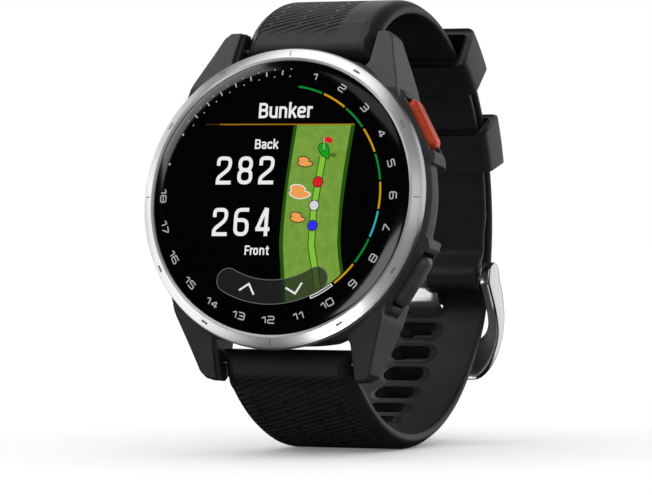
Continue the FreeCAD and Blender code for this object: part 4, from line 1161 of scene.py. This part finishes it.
ground_steel = grained("ground_steel", "#9A9B9C", "#B0B1B2", 5000, (0.22, 0.34), 0.000008, metal=1.0)
black_rubber = grained("moulded_black_rubber", "#101010", "#171717", 9000, (0.55, 0.7), 0.00001)
gold_plate = grained("gold_plated_brass", "#C9A04A", "#D9B25C", 6000, (0.2, 0.3), 0.000006, metal=1.0)
cover_polymer = grained("satin_cover_polymer", "#17181A", "#1D1E20", 8000, (0.38, 0.5), 0.000012)
port_polymer = grained("smooth_port_polymer", "#0C0C0D", "#121213", 8000, (0.3, 0.4), 0.000008)
frame_polymer = grained("grey_carrier_polymer", "#2B2B2C", "#353536", 8000, (0.45, 0.55), 0.000012)
board_mask = grained("green_solder_mask", "#0B3A1E", "#115028", 2500, (0.28, 0.4), 0.00002)
amber_film = grained("amber_polyimide_film", "#7A4416", "#8E531D", 2500, (0.25, 0.35), 0.000008)
tin_plate = grained("tinned_sheet_steel", "#9C9D9E", "#B4B5B6", 3000, (0.3, 0.42), 0.00001, metal=1.0)
chip_epoxy = grained("black_chip_epoxy", "#141414", "#1B1B1B", 9000, (0.5, 0.6), 0.00001)
pouch_foil = grained("laminated_pouch_foil", "#8E9093", "#A0A2A5", 1500, (0.3, 0.45), 0.00003, metal=0.8)
heavy_metal = grained("sintered_heavy_metal", "#5A5B5E", "#6A6B6E", 9000, (0.4, 0.5), 0.00001, metal=1.0)
panel_black = grained("black_display_panel", "#050506", "#08080A", 4000, (0.15, 0.2), 0.000004)
switch_white = grained("off_white_plunger", "#B9B7AE", "#C6C4BB", 7000, (0.4, 0.5), 0.00001)

buttons = ("action", "back")
bars = ("upper", "lower")
steel_parts = ["buckle_bar", "back_cover_screws"]
steel_parts += [f"{b}_button_{p}" for b in buttons for p in ("stem", "clip")]
steel_parts += [f"{b}_bar_{p}" for b in bars for p in ("tube", "fixed_tip", "release_tip", "spring")]
finish_cad(steel_parts, ground_steel)
finish_cad(["glass_gasket", "back_cover_gasket"] + [b + "_button_seal" for b in buttons], black_rubber)
finish_cad(["charging_contacts", "bezel_contact"], gold_plate)
finish_cad(["back_cover"], cover_polymer)
finish_cad(["charging_port"] + [b + "_switch" for b in buttons], port_polymer)
finish_cad(["inner_frame", "antenna"], frame_polymer)
finish_cad(["main_board"], board_mask)
finish_cad(["display_flex", "button_flex"], amber_film)
finish_cad(["shield_cans", "motor_can", "motor_base"], tin_plate)
finish_cad(["board_chips"], chip_epoxy)
finish_cad(["battery"], pouch_foil)
finish_cad(["motor_rotor"], heavy_metal)
finish_cad(["display"], panel_black)
finish_cad([b + "_switch_plunger" for b in buttons], switch_white)


# ==== Stage: pale floor, soft light, camera =====================================================
# The watch stands on a seamless white floor in a white room. The room lights the floor evenly and isn't
# mirrored, so that the watch shows only the soft boxes round it, and the glass stays black.
FLOOR_HALF = 3.0
floor_mesh = bpy.data.meshes.new("floor")
floor_corners = [(x * FLOOR_HALF, y * FLOOR_HALF, 0) for x, y in ((-1, -1), (1, -1), (1, 1), (-1, 1))]
floor_mesh.from_pydata(floor_corners, [], [(0, 1, 2, 3)])
floor = shown("floor", floor_mesh)
floor_white = grained("white_paper_floor", "#F0F0F0", "#F4F4F4", 60, (0.7, 0.8), 0.0001,
                      Specular_IOR_Level=0.0, Emission_Color=(1, 1, 1, 1), Emission_Strength=0.16)
floor_mesh.materials.append(floor_white)
floor.visible_glossy = False
floor.visible_shadow = False

world = bpy.data.worlds.new("white_room")
bpy.context.scene.world = world
world.use_nodes = True
world.node_tree.nodes["Background"].inputs["Color"].default_value = (1, 1, 1, 1)
world.cycles_visibility.glossy = False

DIAL_CENTRE = Vector(stand([(0, 0, 0)])[0])
# each group of pieces has soft boxes of its own, as (azimuth, elevation, size, radiance) from the dial:
# azimuth 0 is in front and grows towards 3 o'clock
BOX_DISTANCE = 0.6
LIT_APART = {"bezel_ring": "bezel", "buckle_loop": "buckle", "buckle_tongue_plate": "buckle",
             "buckle_bar": "buckle", "cover_glass": "glass"}
SOFT_BOXES = {
    "bezel": [(-28, 63, (0.50, 0.50), 2.4), (-62, -8, (0.55, 0.60), 2.0), (-86, 25, (0.30, 0.30), 1.8),
              (20, 5, (1.30, 1.30), 0.32), (1, -26, (0.10, 0.18), 26.0), (30, 18, (0.08, 0.20), 4.0),
              (120, 15, (0.50, 0.50), 1.3), (210, 25, (0.50, 0.40), 1.3)],
    "buckle": [(150, 5, (0.55, 0.60), 1.15), (60, 30, (0.30, 0.40), 1.1), (-90, -67, (0.60, 0.60), 1.5),
               (25, 0, (1.30, 1.10), 0.22), (-25, -14, (0.50, 0.45), 1.3), (-62, -42, (0.60, 0.60), 1.5),
               (-110, 30, (0.40, 0.50), 1.6), (215, 20, (0.40, 0.50), 1.2)],
    "glass": [(-86, 38, (0.58, 0.44), 2.1), (33, -22, (0.38, 0.52), 3.3), (24, 58, (0.46, 0.28), 0.7),
              (150, 30, (0.40, 0.40), 1.0)],
    "dark": [(-30, 68, (0.60, 0.60), 2.0), (-95, 22, (0.50, 0.45), 3.1), (80, 12, (0.35, 0.50), 0.5),
             (-25, -32, (0.80, 0.40), 0.5), (150, 8, (0.60, 0.60), 1.1), (25, 0, (1.30, 1.10), 0.14),
             (215, 30, (0.50, 0.50), 1.2)],
}
lit_groups = {group: bpy.data.collections.new("lit_" + group) for group in SOFT_BOXES}
for piece in list(bpy.context.scene.objects):
    if piece.type == "MESH" and piece is not floor:
        lit_groups[LIT_APART.get(piece.name, "dark")].objects.link(piece)

for group, boxes in SOFT_BOXES.items():
    for azimuth, elevation, size, radiance in boxes:
        light = bpy.data.lights.new("soft_box_" + group, "AREA")
        light.shape = "RECTANGLE"
        light.size, light.size_y = size
        light.energy = radiance * math.pi * size[0] * size[1]
        lamp = bpy.data.objects.new(light.name, light)
        bpy.context.scene.collection.objects.link(lamp)
        turn, rise = math.radians(azimuth), math.radians(elevation)
        away = Vector((math.sin(turn) * math.cos(rise), -math.cos(turn) * math.cos(rise), math.sin(rise)))
        lamp.location = DIAL_CENTRE + away * BOX_DISTANCE
        lamp.rotation_euler = (-away).to_track_quat("-Z", "Y").to_euler()
        lamp.visible_camera = False
        lamp.light_linking.receiver_collection = lit_groups[group]
        # the strap and the case don't shade the buckle's boxes, so its tongue shows in its slot
        if group == "buckle":
            lamp.light_linking.blocker_collection = lit_groups[group]

# metres from the dial's centre, and a lens in millimetres
CAMERA_FROM_DIAL = Vector((0.2250, -0.5052, -0.0022))
CAMERA_FORWARD = Vector((-0.3961, 0.9182, -0.0088))
camera_data = bpy.data.cameras.new("camera")
camera_data.lens = 219.4
camera_data.sensor_width = 36.0
camera_data.clip_start = 0.01
camera = bpy.data.objects.new("camera", camera_data)
bpy.context.scene.collection.objects.link(camera)
camera.location = DIAL_CENTRE + CAMERA_FROM_DIAL
camera.rotation_euler = CAMERA_FORWARD.to_track_quat("-Z", "Y").to_euler()
bpy.context.scene.camera = camera
bpy.context.scene.view_settings.view_transform = "Standard"
